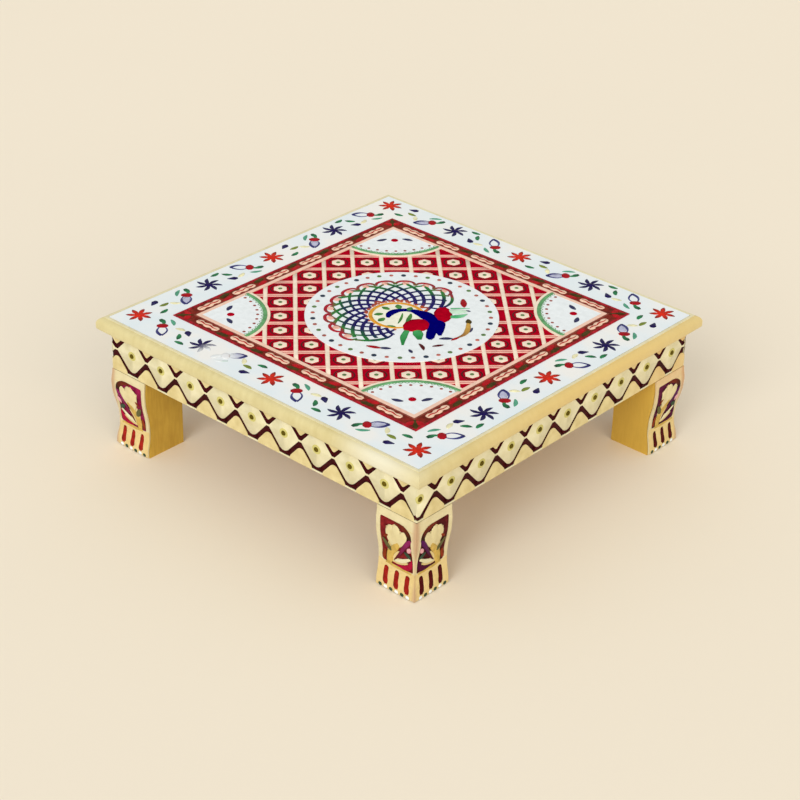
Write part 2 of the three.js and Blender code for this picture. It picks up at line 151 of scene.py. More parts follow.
bpy.ops.object.select_all(action="DESELECT")
bpy.ops.mesh.primitive_circle_add(vertices=64, radius=30, fill_type="NGON")
floor = bpy.context.object
floor.name = "paper_floor"

paper, tree, surface, place = begin("matt_cream_paper", Roughness=0.95)
fibre = add(tree, "ShaderNodeTexNoise", {"Vector": place, "Scale": per_mm(400), "Detail": 2})
tint = add(tree, "ShaderNodeMix", {0: fibre.outputs[0], 6: linear("#F0E6D2"),
                                   7: linear("#F2E8D4")}, data_type="RGBA")
tree.links.new(tint.outputs[2], surface.inputs["Base Color"])
floor.data.materials.append(paper)

world = bpy.data.worlds.new("studio")
bpy.context.scene.world = world
world.use_nodes = True
tree = world.node_tree
sky = tree.nodes["Background"]
sky.inputs["Color"].default_value = linear("#FFFFFF")
sky.inputs["Strength"].default_value = SKY_STRENGTH
seen = add(tree, "ShaderNodeBackground", {"Color": linear(CREAM_PAPER), "Strength": 1.0})
path = add(tree, "ShaderNodeLightPath").outputs
direct = add(tree, "ShaderNodeMath", {0: path["Is Camera Ray"], 1: path["Is Glossy Ray"]},
             operation="MAXIMUM")
direct = add(tree, "ShaderNodeMath", {0: direct.outputs[0], 1: path["Is Transmission Ray"]},
             operation="MAXIMUM")
both = add(tree, "ShaderNodeMixShader",
           {0: direct.outputs[0], 1: sky.outputs[0], 2: seen.outputs[0]})
tree.links.new(both.outputs[0], tree.nodes["World Output"].inputs["Surface"])
print("sky strength", SKY_STRENGTH)

# %% Suns
def sun(name, comes_from, strength, spread, hexa):
    """A soft sun that shines from a direction towards the table."""
    lamp = bpy.data.objects.new(name, bpy.data.lights.new(name, "SUN"))
    bpy.context.collection.objects.link(lamp)
    lamp.data.energy = strength
    lamp.data.angle = math.radians(spread)
    lamp.data.color = linear(hexa)[:3]
    lamp.rotation_mode = "QUATERNION"
    lamp.rotation_quaternion = Vector(comes_from).to_track_quat("Z", "Y")
    return lamp


sun("key_sun", (0.2, -0.95, 0.58), 1.15, 30, "#FCFDFF")
sun("side_sun", (1.0, -0.3, 0.5), 0.55, 34, "#FFE9C8")
sun("front_sun", (0.66, -0.75, 0.4), 0.8, 44, "#FFF8EC")
bpy.context.scene.view_settings.view_transform = "Standard"

# %% [markdown]
# ## Wood and steel
# Under its skins the table is plain joinery. The board is birch plywood, sanded and left raw
# below. The rails and legs are softwood, brushed with a matt mustard gold paint whose bristle
# marks run up and down. The paint can take wide, soft patches of another gold, which are painted
# light: a paler or warmer tone where a face is to look more lit. The screws are zinc plated. None
# of
# these takes a picture: each is a few noises at the size of the real grain, which look right
# from any side.

# %% Plywood, sanded and unpainted: warm straw with darker grain along the sheet
plywood, tree, surface, place = begin("birch_plywood_sanded", Roughness=0.7)
stretch = add(tree, "ShaderNodeMapping", {"Vector": place, "Scale": (1, 9, 9)}).outputs[0]
grain = add(tree, "ShaderNodeTexNoise",
            {"Vector": stretch, "Scale": per_mm(28), "Detail": 8, "Roughness": 0.62})
figure = add(tree, "ShaderNodeValToRGB", {"Fac": grain.outputs[0]},
             stops=[(0.3, "#A67F4E"), (0.7, "#D2AC77"), (0.5, "#C19B66")])
coat(tree, surface, figure.outputs[0], grain.outputs[0], 0.25, 0.3)
print("plywood has", len(tree.nodes), "nodes")

# %% Matt gold paint, brushed on wood: mustard with bristle marks, and a paler patch of painted light on the right leg's inner face
PATCH_HEIGHT = 100
PATCH_COVER = 0.8


def patched(tree, place, tint, patches):
    """The tint with soft patches of other colours on it, each (x, y, reach, colour) in mm."""
    for x, y, reach, hexa in patches:
        away = add(tree, "ShaderNodeVectorMath",
                   {0: place, 1: (x * MM, y * MM, PATCH_HEIGHT * MM)}, operation="DISTANCE")
        fades = add(tree, "ShaderNodeMapRange", {"Value": away.outputs["Value"], 1: 0,
                                                 2: reach * MM, 3: PATCH_COVER, 4: 0},
                    interpolation_type="SMOOTHSTEP")
        tint = add(tree, "ShaderNodeMix", {0: fades.outputs[0], 6: tint, 7: linear(hexa)},
                   data_type="RGBA").outputs[2]
    return tint


def brushed_gold(name, dark, light, bristle_mm, shine, patches=()):
    """Brushed gold paint, its bristle marks upright."""
    material, tree, surface, place = begin(name, Metallic=0.15, Roughness=shine)
    combed = add(tree, "ShaderNodeMapping", {"Vector": place, "Scale": (1, 1, 0.12)})
    marks = add(tree, "ShaderNodeTexNoise",
                {"Vector": combed.outputs[0], "Scale": per_mm(bristle_mm), "Detail": 5})
    cloud = add(tree, "ShaderNodeTexNoise",
                {"Vector": place, "Scale": per_mm(22), "Detail": 4, "Roughness": 0.6})
    both = add(tree, "ShaderNodeMath", {0: marks.outputs[0], 1: cloud.outputs[0]},
               operation="ADD")
    spread = add(tree, "ShaderNodeMapRange", {"Value": both.outputs[0], 1: 0.7, 2: 1.3})
    tint = add(tree, "ShaderNodeMix", {0: spread.outputs[0], 6: linear(dark), 7: linear(light)},
               data_type="RGBA").outputs[2]
    coat(tree, surface, patched(tree, place, tint, patches), marks.outputs[0], 0.3, 0.2)
    return material


# A paler patch round the right leg's inner face is painted light: it lightens a face that lies in
# shade.
mustard_paint = brushed_gold("mustard_gold_paint_brushed", "#B89230", "#CAA63E", 1.6, 0.55,
                             patches=((128, 110, 170, "#DDB650"),))
print("mustard paint has", len(mustard_paint.node_tree.nodes), "nodes")

# %% Zinc-plated steel: pale grey, cloudy with passivation
zinc, tree, surface, place = begin("zinc_plated_steel", Metallic=0.9, Roughness=0.35)
cloud = add(tree, "ShaderNodeTexNoise", {"Vector": place, "Scale": per_mm(2), "Detail": 3})
tint = add(tree, "ShaderNodeMix", {0: cloud.outputs[0], 6: linear("#94958F"),
                                   7: linear("#C0C2BE")}, data_type="RGBA")
tree.links.new(tint.outputs[2], surface.inputs["Base Color"])
print("materials so far:", len(bpy.data.materials))

# %% Dress the wooden core and the screws
def dress(prefix, material):
    """Gives the CAD nodes whose name starts with prefix their material."""
    for name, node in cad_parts.items():
        if name.startswith(prefix):
            node.material_slots[0].material = material


dress("top_board", plywood)
dress("apron_rail", mustard_paint)
for corner in ("front_left", "front_right", "back_left", "back_right"):
    dress(f"leg_{corner}", mustard_paint)
dress("leg_screw", zinc)
dress("rail_screw", zinc)
print("CAD pieces in the frame:", len(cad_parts))

# %% [markdown]
# ## The enamelled sheet
# The top is a thin steel or aluminium sheet under white stove enamel, a glassy coat that is
# baked on. It is a bright, faintly blue white, and glossy with a faint unevenness called orange
# peel. The colour stays almost even: only a slow drift to cream, as old enamel has, and a soft
# ripple in the gloss.

# %% White stove enamel: near white, glossy, slightly rippled
white_enamel, tree, surface, place = begin("white_stove_enamel", Roughness=0.28, IOR=1.5)
drift = add(tree, "ShaderNodeTexNoise", {"Vector": place, "Scale": per_mm(35), "Detail": 3})
tint = add(tree, "ShaderNodeValToRGB", {"Fac": drift.outputs[0]},
           stops=[(0.35, "#DFECF2"), (0.65, "#EEEFEC"), (0.5, "#E5EEF2")])
peel = add(tree, "ShaderNodeTexNoise", {"Vector": place, "Scale": per_mm(2.5), "Detail": 1})
coat(tree, surface, tint.outputs[0], peel.outputs[0], 0.06, 0.1)
dress("enamel_top_sheet", white_enamel)

sheet_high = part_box("enamel_top_sheet")[1]
SHEET_TOP = sheet_high.z / MM
print("sheet top at", round(SHEET_TOP, 2), "mm, half width", round(sheet_high.x / MM, 2))

# %% [markdown]
# ## Helpers for modelling
# These are the few moves of the hand that every piece needs: let go of everything, take hold
# of one thing, open it for editing, pick faces or edges by where they lie, draw them up, cut
# a piece away, turn its faces outwards, copy it and join the copies.

# %% Selecting and shaping
def let_go():
    """Leaves edit mode and deselects everything."""
    if bpy.context.mode != "OBJECT":
        bpy.ops.object.mode_set(mode="OBJECT")
    bpy.ops.object.select_all(action="DESELECT")


def take(*objects):
    """Selects only these objects and makes the first one active."""
    let_go()
    for item in objects:
        item.select_set(True)
    bpy.context.view_layer.objects.active = objects[0]


def pick(kind, wanted):
    """In edit mode, selects the parts whose middle in mm and whose direction are wanted."""
    bpy.ops.mesh.select_mode(type=kind)
    mesh = bpy.context.object.data
    shape = bmesh.from_edit_mesh(mesh)
    shape.normal_update()
    for part in {"VERT": shape.verts, "EDGE": shape.edges, "FACE": shape.faces}[kind]:
        corners = [part.co] if kind == "VERT" else [v.co for v in part.verts]
        middle = sum(corners, Vector()) / len(corners) / MM
        facing = corners[1] - corners[0] if kind == "EDGE" else part.normal
        part.select_set(bool(wanted(middle, facing.normalized())))
    shape.select_flush_mode()
    bmesh.update_edit_mesh(mesh)


def open_up():
    """Enters edit mode on the active piece, with all of it selected."""
    bpy.ops.object.mode_set(mode="EDIT")
    bpy.ops.mesh.select_all(action="SELECT")


def draw_up(rise):
    """In edit mode, extrudes what is selected upwards by so many millimetres."""
    bpy.ops.mesh.extrude_region_move(TRANSFORM_OT_translate={"value": (0, 0, rise * MM)})


def cut_away(place, direction):
    """In edit mode, cuts off all that lies beyond a plane through a place, and fills the cut."""
    bpy.ops.mesh.select_all(action="SELECT")
    bpy.ops.mesh.bisect(plane_co=[c * MM for c in place], plane_no=direction, use_fill=True,
                        clear_outer=True)


def face_outwards():
    """In edit mode, selects the whole piece and turns its faces outwards."""
    bpy.ops.mesh.select_all(action="SELECT")
    bpy.ops.mesh.normals_make_consistent(inside=False)


def copied(piece):
    """A copy of a piece with its own mesh."""
    copy = bpy.data.objects.new(piece.name, piece.data.copy())
    bpy.context.collection.objects.link(copy)
    return copy


def turned(piece, turns):
    """A copy of a piece, turned about the table's axis by quarter turns."""
    copy = copied(piece)
    copy.data.transform(Matrix.Rotation(turns * QUARTER, 4, "Z"))
    return copy


def joined(copies):
    """The copies of a piece as one piece."""
    take(*copies)
    bpy.ops.object.join()
    return bpy.context.object


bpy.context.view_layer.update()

# %% [markdown]
# Most pieces start from a block or a thin plate. A finished piece gets its paint and rides
# with the table's one body.

# %% Adding and finishing
def block(low, high):
    """A block between two corners, left in edit mode with all of it selected."""
    let_go()
    bpy.ops.mesh.primitive_cube_add(size=1)
    bpy.ops.object.mode_set(mode="EDIT")
    size = [(h - l) * MM for l, h in zip(low, high)]
    middle = [(h + l) / 2 * MM for l, h in zip(low, high)]
    bpy.ops.transform.resize(value=size)
    bpy.ops.transform.translate(value=middle)
    return bpy.context.object


def finish_piece(piece, name, slot, *materials):
    """Names a piece, paints it and fastens it to the table."""
    let_go()
    piece.name = piece.data.name = name
    if materials:
        piece.data.materials.clear()
        for material in materials:
            piece.data.materials.append(material)
    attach(piece, "root")
    return piece


def on_top(piece, name, paint):
    """Finishes a piece of the painted top."""
    return finish_piece(piece, name, "white_enamel", paint)


# %% [markdown]
# ## The beading
# Four lengths of wooden half-round close the edge of the board. Each has a narrow flat fillet
# beside the sheet, a small quirk, and a full round nose below it, and the ends are mitred. It
# could be a curve swept along a profile, but a joiner works it from a square stick, and so does
# this cell: the nose comes from two wide bevels, the fillet is pushed up out of the top, and two
# bisecting cuts make the mitres. The fillet has a paler paint, a painted highlight for the light
# on its top.

# %% Pale gold paint, satin: a painted highlight near the front corner, and a warmer painted tone along the right side where the light falls warmer
SATIN = 0.32
BRUSH_MARKS = 3.6
# Both patches are painted light: a pale highlight near the front corner, and a warmer tone on the
# right.
pale_gold = brushed_gold("pale_gold_paint_satin", "#CBBF8A", "#D6CC9A", BRUSH_MARKS, SATIN,
                         patches=((118, -160, 48, "#E9EBDD"), (158, 40, 250, "#DCBD72")))
# The fillet's paler paint is a painted highlight.
fillet_gold = brushed_gold("fillet_gold_paint_painted_highlight", "#D8D0A6", "#E6E0BE", BRUSH_MARKS, SATIN)
print("bristle marks every", BRUSH_MARKS, "mm")

# %% One length of beading, then its three copies
bead_low, bead_high = (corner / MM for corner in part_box("edge_beading_front"))
FILLET_WIDTH = 2.2
FILLET_RISE = 0.5
NOSE_TOP_BEVEL = 4.9
NOSE_FOOT_BEVEL = 2.6
MITRE_GAP = 0.02

bead_out, bead_in = bead_low.y, bead_high.y
round_top = bead_high.z - FILLET_RISE
bead = block((bead_out, bead_out, bead_low.z), (-bead_out, bead_in, round_top))
pick("EDGE", lambda m, d: abs(d.x) > 0.9 and m.y < bead_out + 0.1 and m.z > round_top - 0.1)
bpy.ops.mesh.bevel(offset=NOSE_TOP_BEVEL * MM, segments=10, profile=0.5)
pick("EDGE", lambda m, d: abs(d.x) > 0.9 and m.y < bead_out + 0.1 and m.z < bead_low.z + 0.1)
bpy.ops.mesh.bevel(offset=NOSE_FOOT_BEVEL * MM, segments=7, profile=0.5)
pick("FACE", lambda m, n: n.z > 0.99)
bpy.ops.mesh.bisect(plane_co=(0, (bead_in - FILLET_WIDTH) * MM, 0), plane_no=(0, 1, 0))
pick("FACE", lambda m, n: n.z > 0.99 and m.y > bead_in - FILLET_WIDTH)
draw_up(FILLET_RISE)
pick("EDGE", lambda m, d: abs(d.x) > 0.9 and m.z > bead_high.z - 0.01)
bpy.ops.mesh.bevel(offset=0.15 * MM, segments=2)
for material in (pale_gold, fillet_gold):
    bead.data.materials.append(material)
# The fillet's top faces take the paler paint: a painted highlight.
pick("FACE", lambda m, n: m.z > round_top + 0.01)
bead.active_material_index = 1
bpy.ops.object.material_slot_assign()
for end in (-1, 1):
    cut_away((-end * MITRE_GAP, 0, 0), (end, 1, 0))
face_outwards()
let_go()
for turns, side in enumerate(SIDES):
    length = turned(bead, turns)
    finish_piece(length, f"beading_{side}", "light_gold_paint")
    take(length)
    bpy.ops.object.shade_smooth_by_angle(angle=math.radians(35))
    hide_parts(f"edge_beading_{side}")
bpy.data.objects.remove(bead)
print("beading has", len(length.data.polygons), "faces a length")

# %% [markdown]
# ## Enamel colours
# The ornament is meenakari work in its everyday form: coloured enamel and lacquer laid by hand
# on white and on embossed foil. Each stroke stands a little proud of the ground, is glossy, and
# is denser where the brush was set down than where it lifted. So every stroke's mesh carries
# one number, called along, from 0 where the brush starts to 1 where it lifts, and the paint
# goes from its full colour to a deeper or thinner one by that number. Around one spot of the
# border the paints can fade to white, with a ragged edge.

# %% One recipe for every enamel colour
FADED_PLACE = Vector((-51, -133, SHEET_TOP))
FADED_NEAR, FADED_FAR = 9, 18
FADED_RAG = 5
FADED_WHITE = "#E6EBEC"


def enamel(name, hexa, tip=None, mottle=0.12, fades_white=False, shine=0.03):
    """Enamel laid by brush: a mottled colour that changes to tip along the stroke."""
    material, tree, surface, place = begin(name, Roughness=0.4, IOR=1.5,
                                           Specular_IOR_Level=shine)
    colour = Vector(linear(hexa)[:3])
    dark = (*(colour * (1 - 2 * mottle)), 1)
    light = (*(colour * (1 + mottle)), 1)
    cloud = add(tree, "ShaderNodeTexNoise", {"Vector": place, "Scale": per_mm(3.5), "Detail": 4})
    even = add(tree, "ShaderNodeMapRange", {"Value": cloud.outputs[0], 1: 0.3, 2: 0.7})
    shade = add(tree, "ShaderNodeMix", {0: even.outputs[0], 6: dark, 7: light},
                data_type="RGBA").outputs[2]
    if tip:
        along = add(tree, "ShaderNodeAttribute", attribute_name="along")
        lift = add(tree, "ShaderNodeMapRange", {"Value": along.outputs["Fac"], 1: 0.35, 2: 0.95})
        shade = add(tree, "ShaderNodeMix", {0: lift.outputs[0], 6: shade, 7: linear(tip)},
                    data_type="RGBA").outputs[2]
    # Around one spot of the border the paint fades to white, with a ragged edge.
    if fades_white:
        away = add(tree, "ShaderNodeVectorMath", {0: place, 1: FADED_PLACE * MM},
                   operation="DISTANCE")
        rag = add(tree, "ShaderNodeMath",
                  {0: cloud.outputs[0], 1: 2 * FADED_RAG * MM, 2: -FADED_RAG * MM},
                  operation="MULTIPLY_ADD")
        edge = add(tree, "ShaderNodeMath", {0: away.outputs["Value"], 1: rag.outputs[0]},
                   operation="ADD")
        whitened = add(tree, "ShaderNodeMapRange", {"Value": edge.outputs[0], 1: FADED_NEAR * MM,
                                                2: FADED_FAR * MM, 3: 0.95, 4: 0})
        shade = add(tree, "ShaderNodeMix", {0: whitened.outputs[0], 6: shade, 7: linear(FADED_WHITE)},
                    data_type="RGBA").outputs[2]
    coat(tree, surface, shade, cloud.outputs[0], 0.2, 0.1)
    return material


ruby = enamel("ruby_enamel", "#AE0420", mottle=0.12, shine=0.0)
cream = enamel("cream_enamel", "#F2E2CC", mottle=0.05)
white_paint = enamel("white_enamel_paint", "#E9F0F2", mottle=0.03)
maroon = enamel("maroon_enamel", "#541019", mottle=0.2)
sage = enamel("sage_enamel", "#5F7F4E", mottle=0.15)
print("ground colours mixed:", ruby.name, cream.name, white_paint.name, maroon.name, sage.name)

# %% [markdown]
# ## Brush strokes and dots
# A stroke of thick enamel is a long low mound that follows the brush. It could be cut out of a
# plane, but then each leaf would need its outline drawn. Here the brush's own path is drawn as
# a curve with a round section, whose radius swells and tapers as the pressure did, and the tube
# is then pressed nearly flat on the sheet. A dot is a small disc, drawn up in two steps to a
# dome. Dots and flowers that repeat are made once and stamped where they belong.

# %% Paths: leaves and rings
def leaf(root, tip, width, bend=0.0):
    """A leaf or petal as a path and its widths: slim root, full body, pointed tip."""
    start, run = Vector(root), Vector(tip) - Vector(root)
    across = Vector((-run.y, run.x)).normalized()
    steps = (0, 0.25, 0.55, 0.82, 1)
    path = [start + run * t + across * bend * 4 * t * (1 - t) for t in steps]
    return path, [width * w for w in (0.35, 0.8, 1, 0.65, 0.12)]


def ring(centre, radius, width, count=12, ratio=1.0, turn=0.0):
    """A closed stroke around a centre. Its first point is repeated to close it."""
    path = []
    for i in range(count + 1):
        angle = i * 2 * math.pi / count
        point = Vector((radius * math.cos(angle), radius * ratio * math.sin(angle)))
        path.append(Vector(centre) + Matrix.Rotation(turn, 2) @ point)
    return path, [width] * (count + 1)


print("a leaf is drawn with", len(leaf((0, 0), (1, 0), 1)[0]), "points")

# %% Brush strokes, dots and stamps
def tubes(drawn, steps):
    """Strokes in plan, each a path and its widths in mm, as one mesh of round tubes."""
    let_go()
    bpy.ops.curve.primitive_bezier_curve_add(location=(0, 0, 0))
    curve = bpy.context.object
    curve.data.splines.clear()
    for path, widths in drawn:
        closed = (Vector(path[0]) - Vector(path[-1])).length < 0.01
        count = len(path) - 1 if closed else len(path)
        spline = curve.data.splines.new("BEZIER")
        spline.bezier_points.add(count - 1)
        spline.use_cyclic_u = closed
        for knot, point, width in zip(spline.bezier_points, path, widths):
            knot.co = (point[0] * MM, point[1] * MM, 0)
            knot.radius = width / 2
            knot.handle_left_type = knot.handle_right_type = "AUTO"
    curve.data.bevel_depth = MM
    curve.data.bevel_resolution = 2
    curve.data.resolution_u = steps
    curve.data.use_fill_caps = True
    curve.data.twist_mode = "Z_UP"
    bpy.ops.object.convert(target="MESH")
    open_up()
    bpy.ops.mesh.remove_doubles(threshold=0.001 * MM)
    face_outwards()
    let_go()
    return bpy.context.object


def mark_along(piece, drawn):
    """Gives the piece its attribute along, from the nearest place on the strokes as drawn."""
    marks = [(Vector((*path[i], 0)).lerp(Vector((*path[i + 1], 0)), k / 4),
              (i + k / 4) / (len(path) - 1))
             for path, widths in drawn for i in range(len(path) - 1) for k in range(5)]
    nearest = KDTree(len(marks))
    for i, (point, share) in enumerate(marks):
        nearest.insert(point * MM, i)
    nearest.balance()
    along = piece.data.attributes.new("along", "FLOAT", "POINT")
    for i, vertex in enumerate(piece.data.vertices):
        along.data[i].value = marks[nearest.find(vertex.co)[1]][1]


def brush(drawn, flatness, level=SHEET_TOP, steps=3):
    """Strokes as one low mesh at a level, pressed to a share of their round height."""
    piece = tubes(drawn, steps)
    mark_along(piece, drawn)
    take(piece)
    piece.scale.z = flatness
    piece.location.z = level * MM
    bpy.ops.object.transform_apply(location=True, rotation=False, scale=True)
    bpy.ops.object.shade_smooth()
    return piece


def dot(radius, rise, level=SHEET_TOP, vertices=10):
    """A domed dot at the table's axis."""
    let_go()
    bpy.ops.mesh.primitive_circle_add(vertices=vertices, radius=radius * MM, fill_type="NGON",
                                      location=(0, 0, (level - 0.1) * MM))
    bpy.ops.object.transform_apply(location=True)
    open_up()
    for lift, narrowing in ((0.1 + rise * 0.6, 0.86), (rise * 0.4, 0.5)):
        draw_up(lift)
        bpy.ops.transform.resize(value=(narrowing, narrowing, 1))
    face_outwards()
    take(bpy.context.object)
    bpy.ops.object.shade_smooth()
    return bpy.context.object


def stamp(master, places):
    """Copies of a motif at (x, y, turn) places in mm and radians, joined to one piece."""
    copies = [copied(master) for _ in places]
    for copy, (x, y, turn) in zip(copies, places):
        copy.data.transform(Matrix.Translation((x * MM, y * MM, 0))
                            @ Matrix.Rotation(turn, 4, "Z"))
    bpy.data.objects.remove(master)
    return joined(copies)


# %% [markdown]
# ## The border of flowers
# A white band runs round the table between the beading and the red frame. Along it the same
# six sprays follow one another, eight times round: a red star flower, a bud, a sprig, a navy
# star flower, a bud that leans the other way, and a sprig. Each spray is drawn once, in a frame
# whose x runs along the side and whose y points inwards, and is carried round by quarter turns.
# The real border was laid about two millimetres off the table's middle, and so is this one.

# %% The colours of the border
star_red = enamel("vermilion_enamel", "#D02C1A", tip="#64201C", fades_white=True)
star_navy = enamel("navy_star_enamel", "#1D1450", tip="#35365E", fades_white=True)
bud_red = enamel("crimson_enamel", "#A3101E", fades_white=True)
bud_navy = enamel("navy_line_enamel", "#4B4C86", tip="#2B2C66", fades_white=True)
bud_mist = enamel("lavender_wash_enamel", "#B9BCD4", fades_white=True)
sprig_green = enamel("deep_green_enamel", "#2E7D50", tip="#1E4A33", fades_white=True)
sprig_teal = enamel("teal_green_enamel", "#58A184", fades_white=True)
sprig_olive = enamel("olive_enamel", "#7C8B3C", fades_white=True)
pale_yellow = enamel("pale_yellow_enamel", "#EBE7BC", fades_white=True)
print("enamels mixed:", len([m for m in bpy.data.materials if "enamel" in m.name]))

# %% Flowers, buds and sprigs
BORDER_LINE = 131.4
BORDER_MIDDLE = Vector((-1.2, 2.3))
BORDER_RISE = 0.16


def round_the_border(t, inward=0.0, lean=0.0, turning=True):
    """The eight places, round the border, of a motif at distance t along its period."""
    places = []
    for turns in range(4):
        for start in (-BORDER_LINE, 0.0):
            spot = Vector((start + t, -BORDER_LINE + inward))
            spot = Matrix.Rotation(turns * QUARTER, 2) @ spot + BORDER_MIDDLE
            places.append((*spot, turns * QUARTER + lean if turning else 0.0))
    return places


def star(petals, radius, width, first_angle, hook):
    """The petals of a star flower, as strokes from its heart."""
    drawn = []
    for i in range(petals):
        angle = first_angle + i * 2 * math.pi / petals
        out = Vector((math.cos(angle), math.sin(angle)))
        drawn.append(leaf(out * 0.8, out * radius, width, bend=hook))
    return drawn


def spray(name, drawn, places, paint, flatness=BORDER_RISE):
    """Draws one colour of a spray and stamps it round the border."""
    on_top(stamp(brush(drawn, flatness), places), name, paint)


PETALS = 7
red_places = round_the_border(0, turning=False)
navy_places = round_the_border(64.5, turning=False)
spray("border_red_stars", star(PETALS, 9.6, 3.7, math.radians(15), 0.3), red_places, star_red)
spray("border_navy_stars", star(PETALS, 10.0, 3.3, math.radians(40), 1.0), navy_places, star_navy)
on_top(stamp(dot(3.0, 0.5), red_places), "border_red_hearts", star_red)
on_top(stamp(dot(3.0, 0.5), navy_places), "border_navy_hearts", star_navy)

# %% Buds: a red calyx, an open navy petal before it and two leaves behind
BUD_LEAN = math.radians(45)
calyx = [([(0, -4.0), (0.2, -2), (0.2, 2), (0, 4.0)], [2.6, 6.0, 6.2, 2.4])]
loop = [([(2.6, 2.2), (6.5, 3.6), (10.5, 2.7), (14.6, 0.0)], [1.0, 1.2, 1.5, 1.8]),
        ([(2.6, -2.2), (6.5, -3.4), (10.5, -2.8), (14.6, 0.0)], [1.0, 1.4, 2.4, 2.6])]
inside = [([(3.4, 0), (7, 0.2), (11, -0.1), (14, -0.2)], [3, 5.8, 4.6, 1.2])]
dark_leaf = [([(-2.0, 0.6), (-4.6, 0.8), (-7.2, -0.4), (-9.6, -1.8)], [1.8, 2.8, 4.4, 2.6])]
light_leaf = [leaf((-8.6, 5.6), (0.2, 8.0), 3.2, 0.7)]
other_light_leaf = [leaf((2.0, -7.0), (-7.8, -5.4), 3.2, 0.8)]
left_buds = round_the_border(23.5, 0.6, -BUD_LEAN)
right_buds = round_the_border(86.8, 0.6, BUD_LEAN)
spray("border_bud_calyxes", calyx, left_buds + right_buds, bud_red, 0.14)
spray("border_bud_petals", loop, left_buds + right_buds, bud_navy, 0.3)
spray("border_bud_fills", inside, right_buds, bud_mist, 0.05)
spray("border_bud_leaves", dark_leaf, left_buds + right_buds, sprig_green)
spray("border_bud_side_leaves", light_leaf, left_buds, sprig_teal)
spray("border_bud_low_leaves", other_light_leaf, right_buds, sprig_teal)
print("buds:", len(left_buds + right_buds))

# %% Sprigs: small loose leaves and a navy drop
drop = [([(-3.4, 0.6), (-1.0, 0.2), (1.4, -0.3), (4.2, -1.0)], [2.6, 5.2, 3.4, 0.9])]
small_leaf = [leaf((-3.8, 1.0), (4.0, -1.0), 3.7, 0.6)]
spray("border_navy_drops", drop,
      round_the_border(45, 5, -0.4) + round_the_border(111.8, -6.2, 0.6), star_navy)
spray("border_sprig_leaves", small_leaf,
      round_the_border(43.5, -3, -0.7) + round_the_border(50.5, -9, 0.3)
      + round_the_border(115.5, 7.8, 0.4), sprig_green)
spray("border_olive_leaves", small_leaf, round_the_border(108.5, 0.2, 0.2), sprig_olive)
spray("border_pale_leaves", small_leaf,
      round_the_border(37, 5, 0.5) + round_the_border(101, 4, -0.6), pale_yellow, 0.1)

# %% [markdown]
# ## The trellis field
# Inside the frame the sheet is embossed foil under ruby lacquer, with a trellis of cells set on
# the diagonal. Thick cream lines run one way and pairs of thin pink ones the other. In each
# cell sits a cream flower with a green eye inside a fine maroon outline. A procedural grid
# could paint this, but the real lines stand up from the foil and catch the light, so they are
# strokes too, and each flower is a six-sided disc stamped at the cell centres. The lines are
# drawn too long and then cut off just under the frame, which isn't quite in the middle.

# %% Ground and lines
FRAME_IN, FRAME_OUT = 101.6, 114.6
FRAME_MIDDLE_PLACE = Vector((-0.6, 1.75, 0))
CELL = 15.2
GROUND_LEVEL = SHEET_TOP + 0.12
TUCK = 0.4
OVERRUN = 4


def plate(half, level_low, level_top, round_over):
    """A thin square plate about the axis, its upper edges rounded over."""
    piece = block((-half, -half, level_low), (half, half, level_top))
    pick("EDGE", lambda m, d: m.z > level_top - 0.001)
    bpy.ops.mesh.bevel(offset=round_over * MM, segments=2)
    let_go()
    return piece


on_top(plate(FRAME_IN + 1, SHEET_TOP - 0.2, GROUND_LEVEL, 0.08), "trellis_ground", ruby)


def trellis(width, slope, flatness, asides=(0,)):
    """Straight strokes between the cells, along (1, slope), cut off under the frame's edge."""
    drawn = []
    reach = FRAME_IN + OVERRUN
    for k in range(-7, 7):
        for aside in asides:
            offset = CELL * (2 * k + 1) + aside * math.sqrt(2)
            half_run = reach - abs(offset) / 2
            if half_run > 2:
                middle = Vector((offset / 2, -slope * offset / 2))
                run = Vector((1, slope)) * half_run
                drawn.append(([middle - run, middle - run / 3, middle + run / 3, middle + run],
                              [width] * 4))
    lines = brush(drawn, flatness, GROUND_LEVEL)
    open_up()
    for turns in range(4):
        out = Matrix.Rotation(turns * QUARTER, 3, "Z") @ Vector((1, 0, 0))
        cut_away(FRAME_MIDDLE_PLACE + out * (FRAME_IN - TUCK), out)
    let_go()
    return lines


pink = enamel("shell_pink_enamel", "#F0BBAA", mottle=0.1)
on_top(trellis(1.9, 1, 0.18, asides=(-1.2, 1.2)), "trellis_pink_lines", pink)
on_top(trellis(3.2, -1, 0.15), "trellis_cream_lines", cream)

# %% Cell flowers
DISC_RADIUS = 69
FAN_RADIUS = 50
PHOTO_TURN = math.radians(45)

cells = []
for i in range(-6, 7):
    for j in range(-6, 7):
        spot = Vector((i * CELL, j * CELL))
        from_corner = (Vector((FRAME_IN, FRAME_IN)) - Vector(map(abs, spot))).length
        clear = spot.length > DISC_RADIUS - 3 and from_corner > FAN_RADIUS - 5
        if (i + j) % 2 == 0 and clear:
            cells.append((*spot, PHOTO_TURN))
FLOWER_RISE = 0.16
outline = brush([ring((0, 0), 6.9, 1.3, 6, turn=QUARTER)], 0.16, GROUND_LEVEL)
on_top(stamp(outline, cells), "trellis_cell_outlines", maroon)
on_top(stamp(dot(5.7, FLOWER_RISE, GROUND_LEVEL, vertices=6), cells), "trellis_flowers", cream)
on_top(stamp(dot(1.7, 0.18, GROUND_LEVEL + FLOWER_RISE), cells), "trellis_flower_eyes", sage)
print("cells with a flower:", len(cells))

# %% [markdown]
# ## The red frame
# A band of knots and wavy links holds the field together. Its ground is a flat ring, made from
# a plane by an inset and an upward extrusion, and its lines are narrower rings of the same make.
# One wavy link and one knot are drawn and stamped along the four sides. The whole frame is then
# slid to where the real one was laid, a little off the middle.

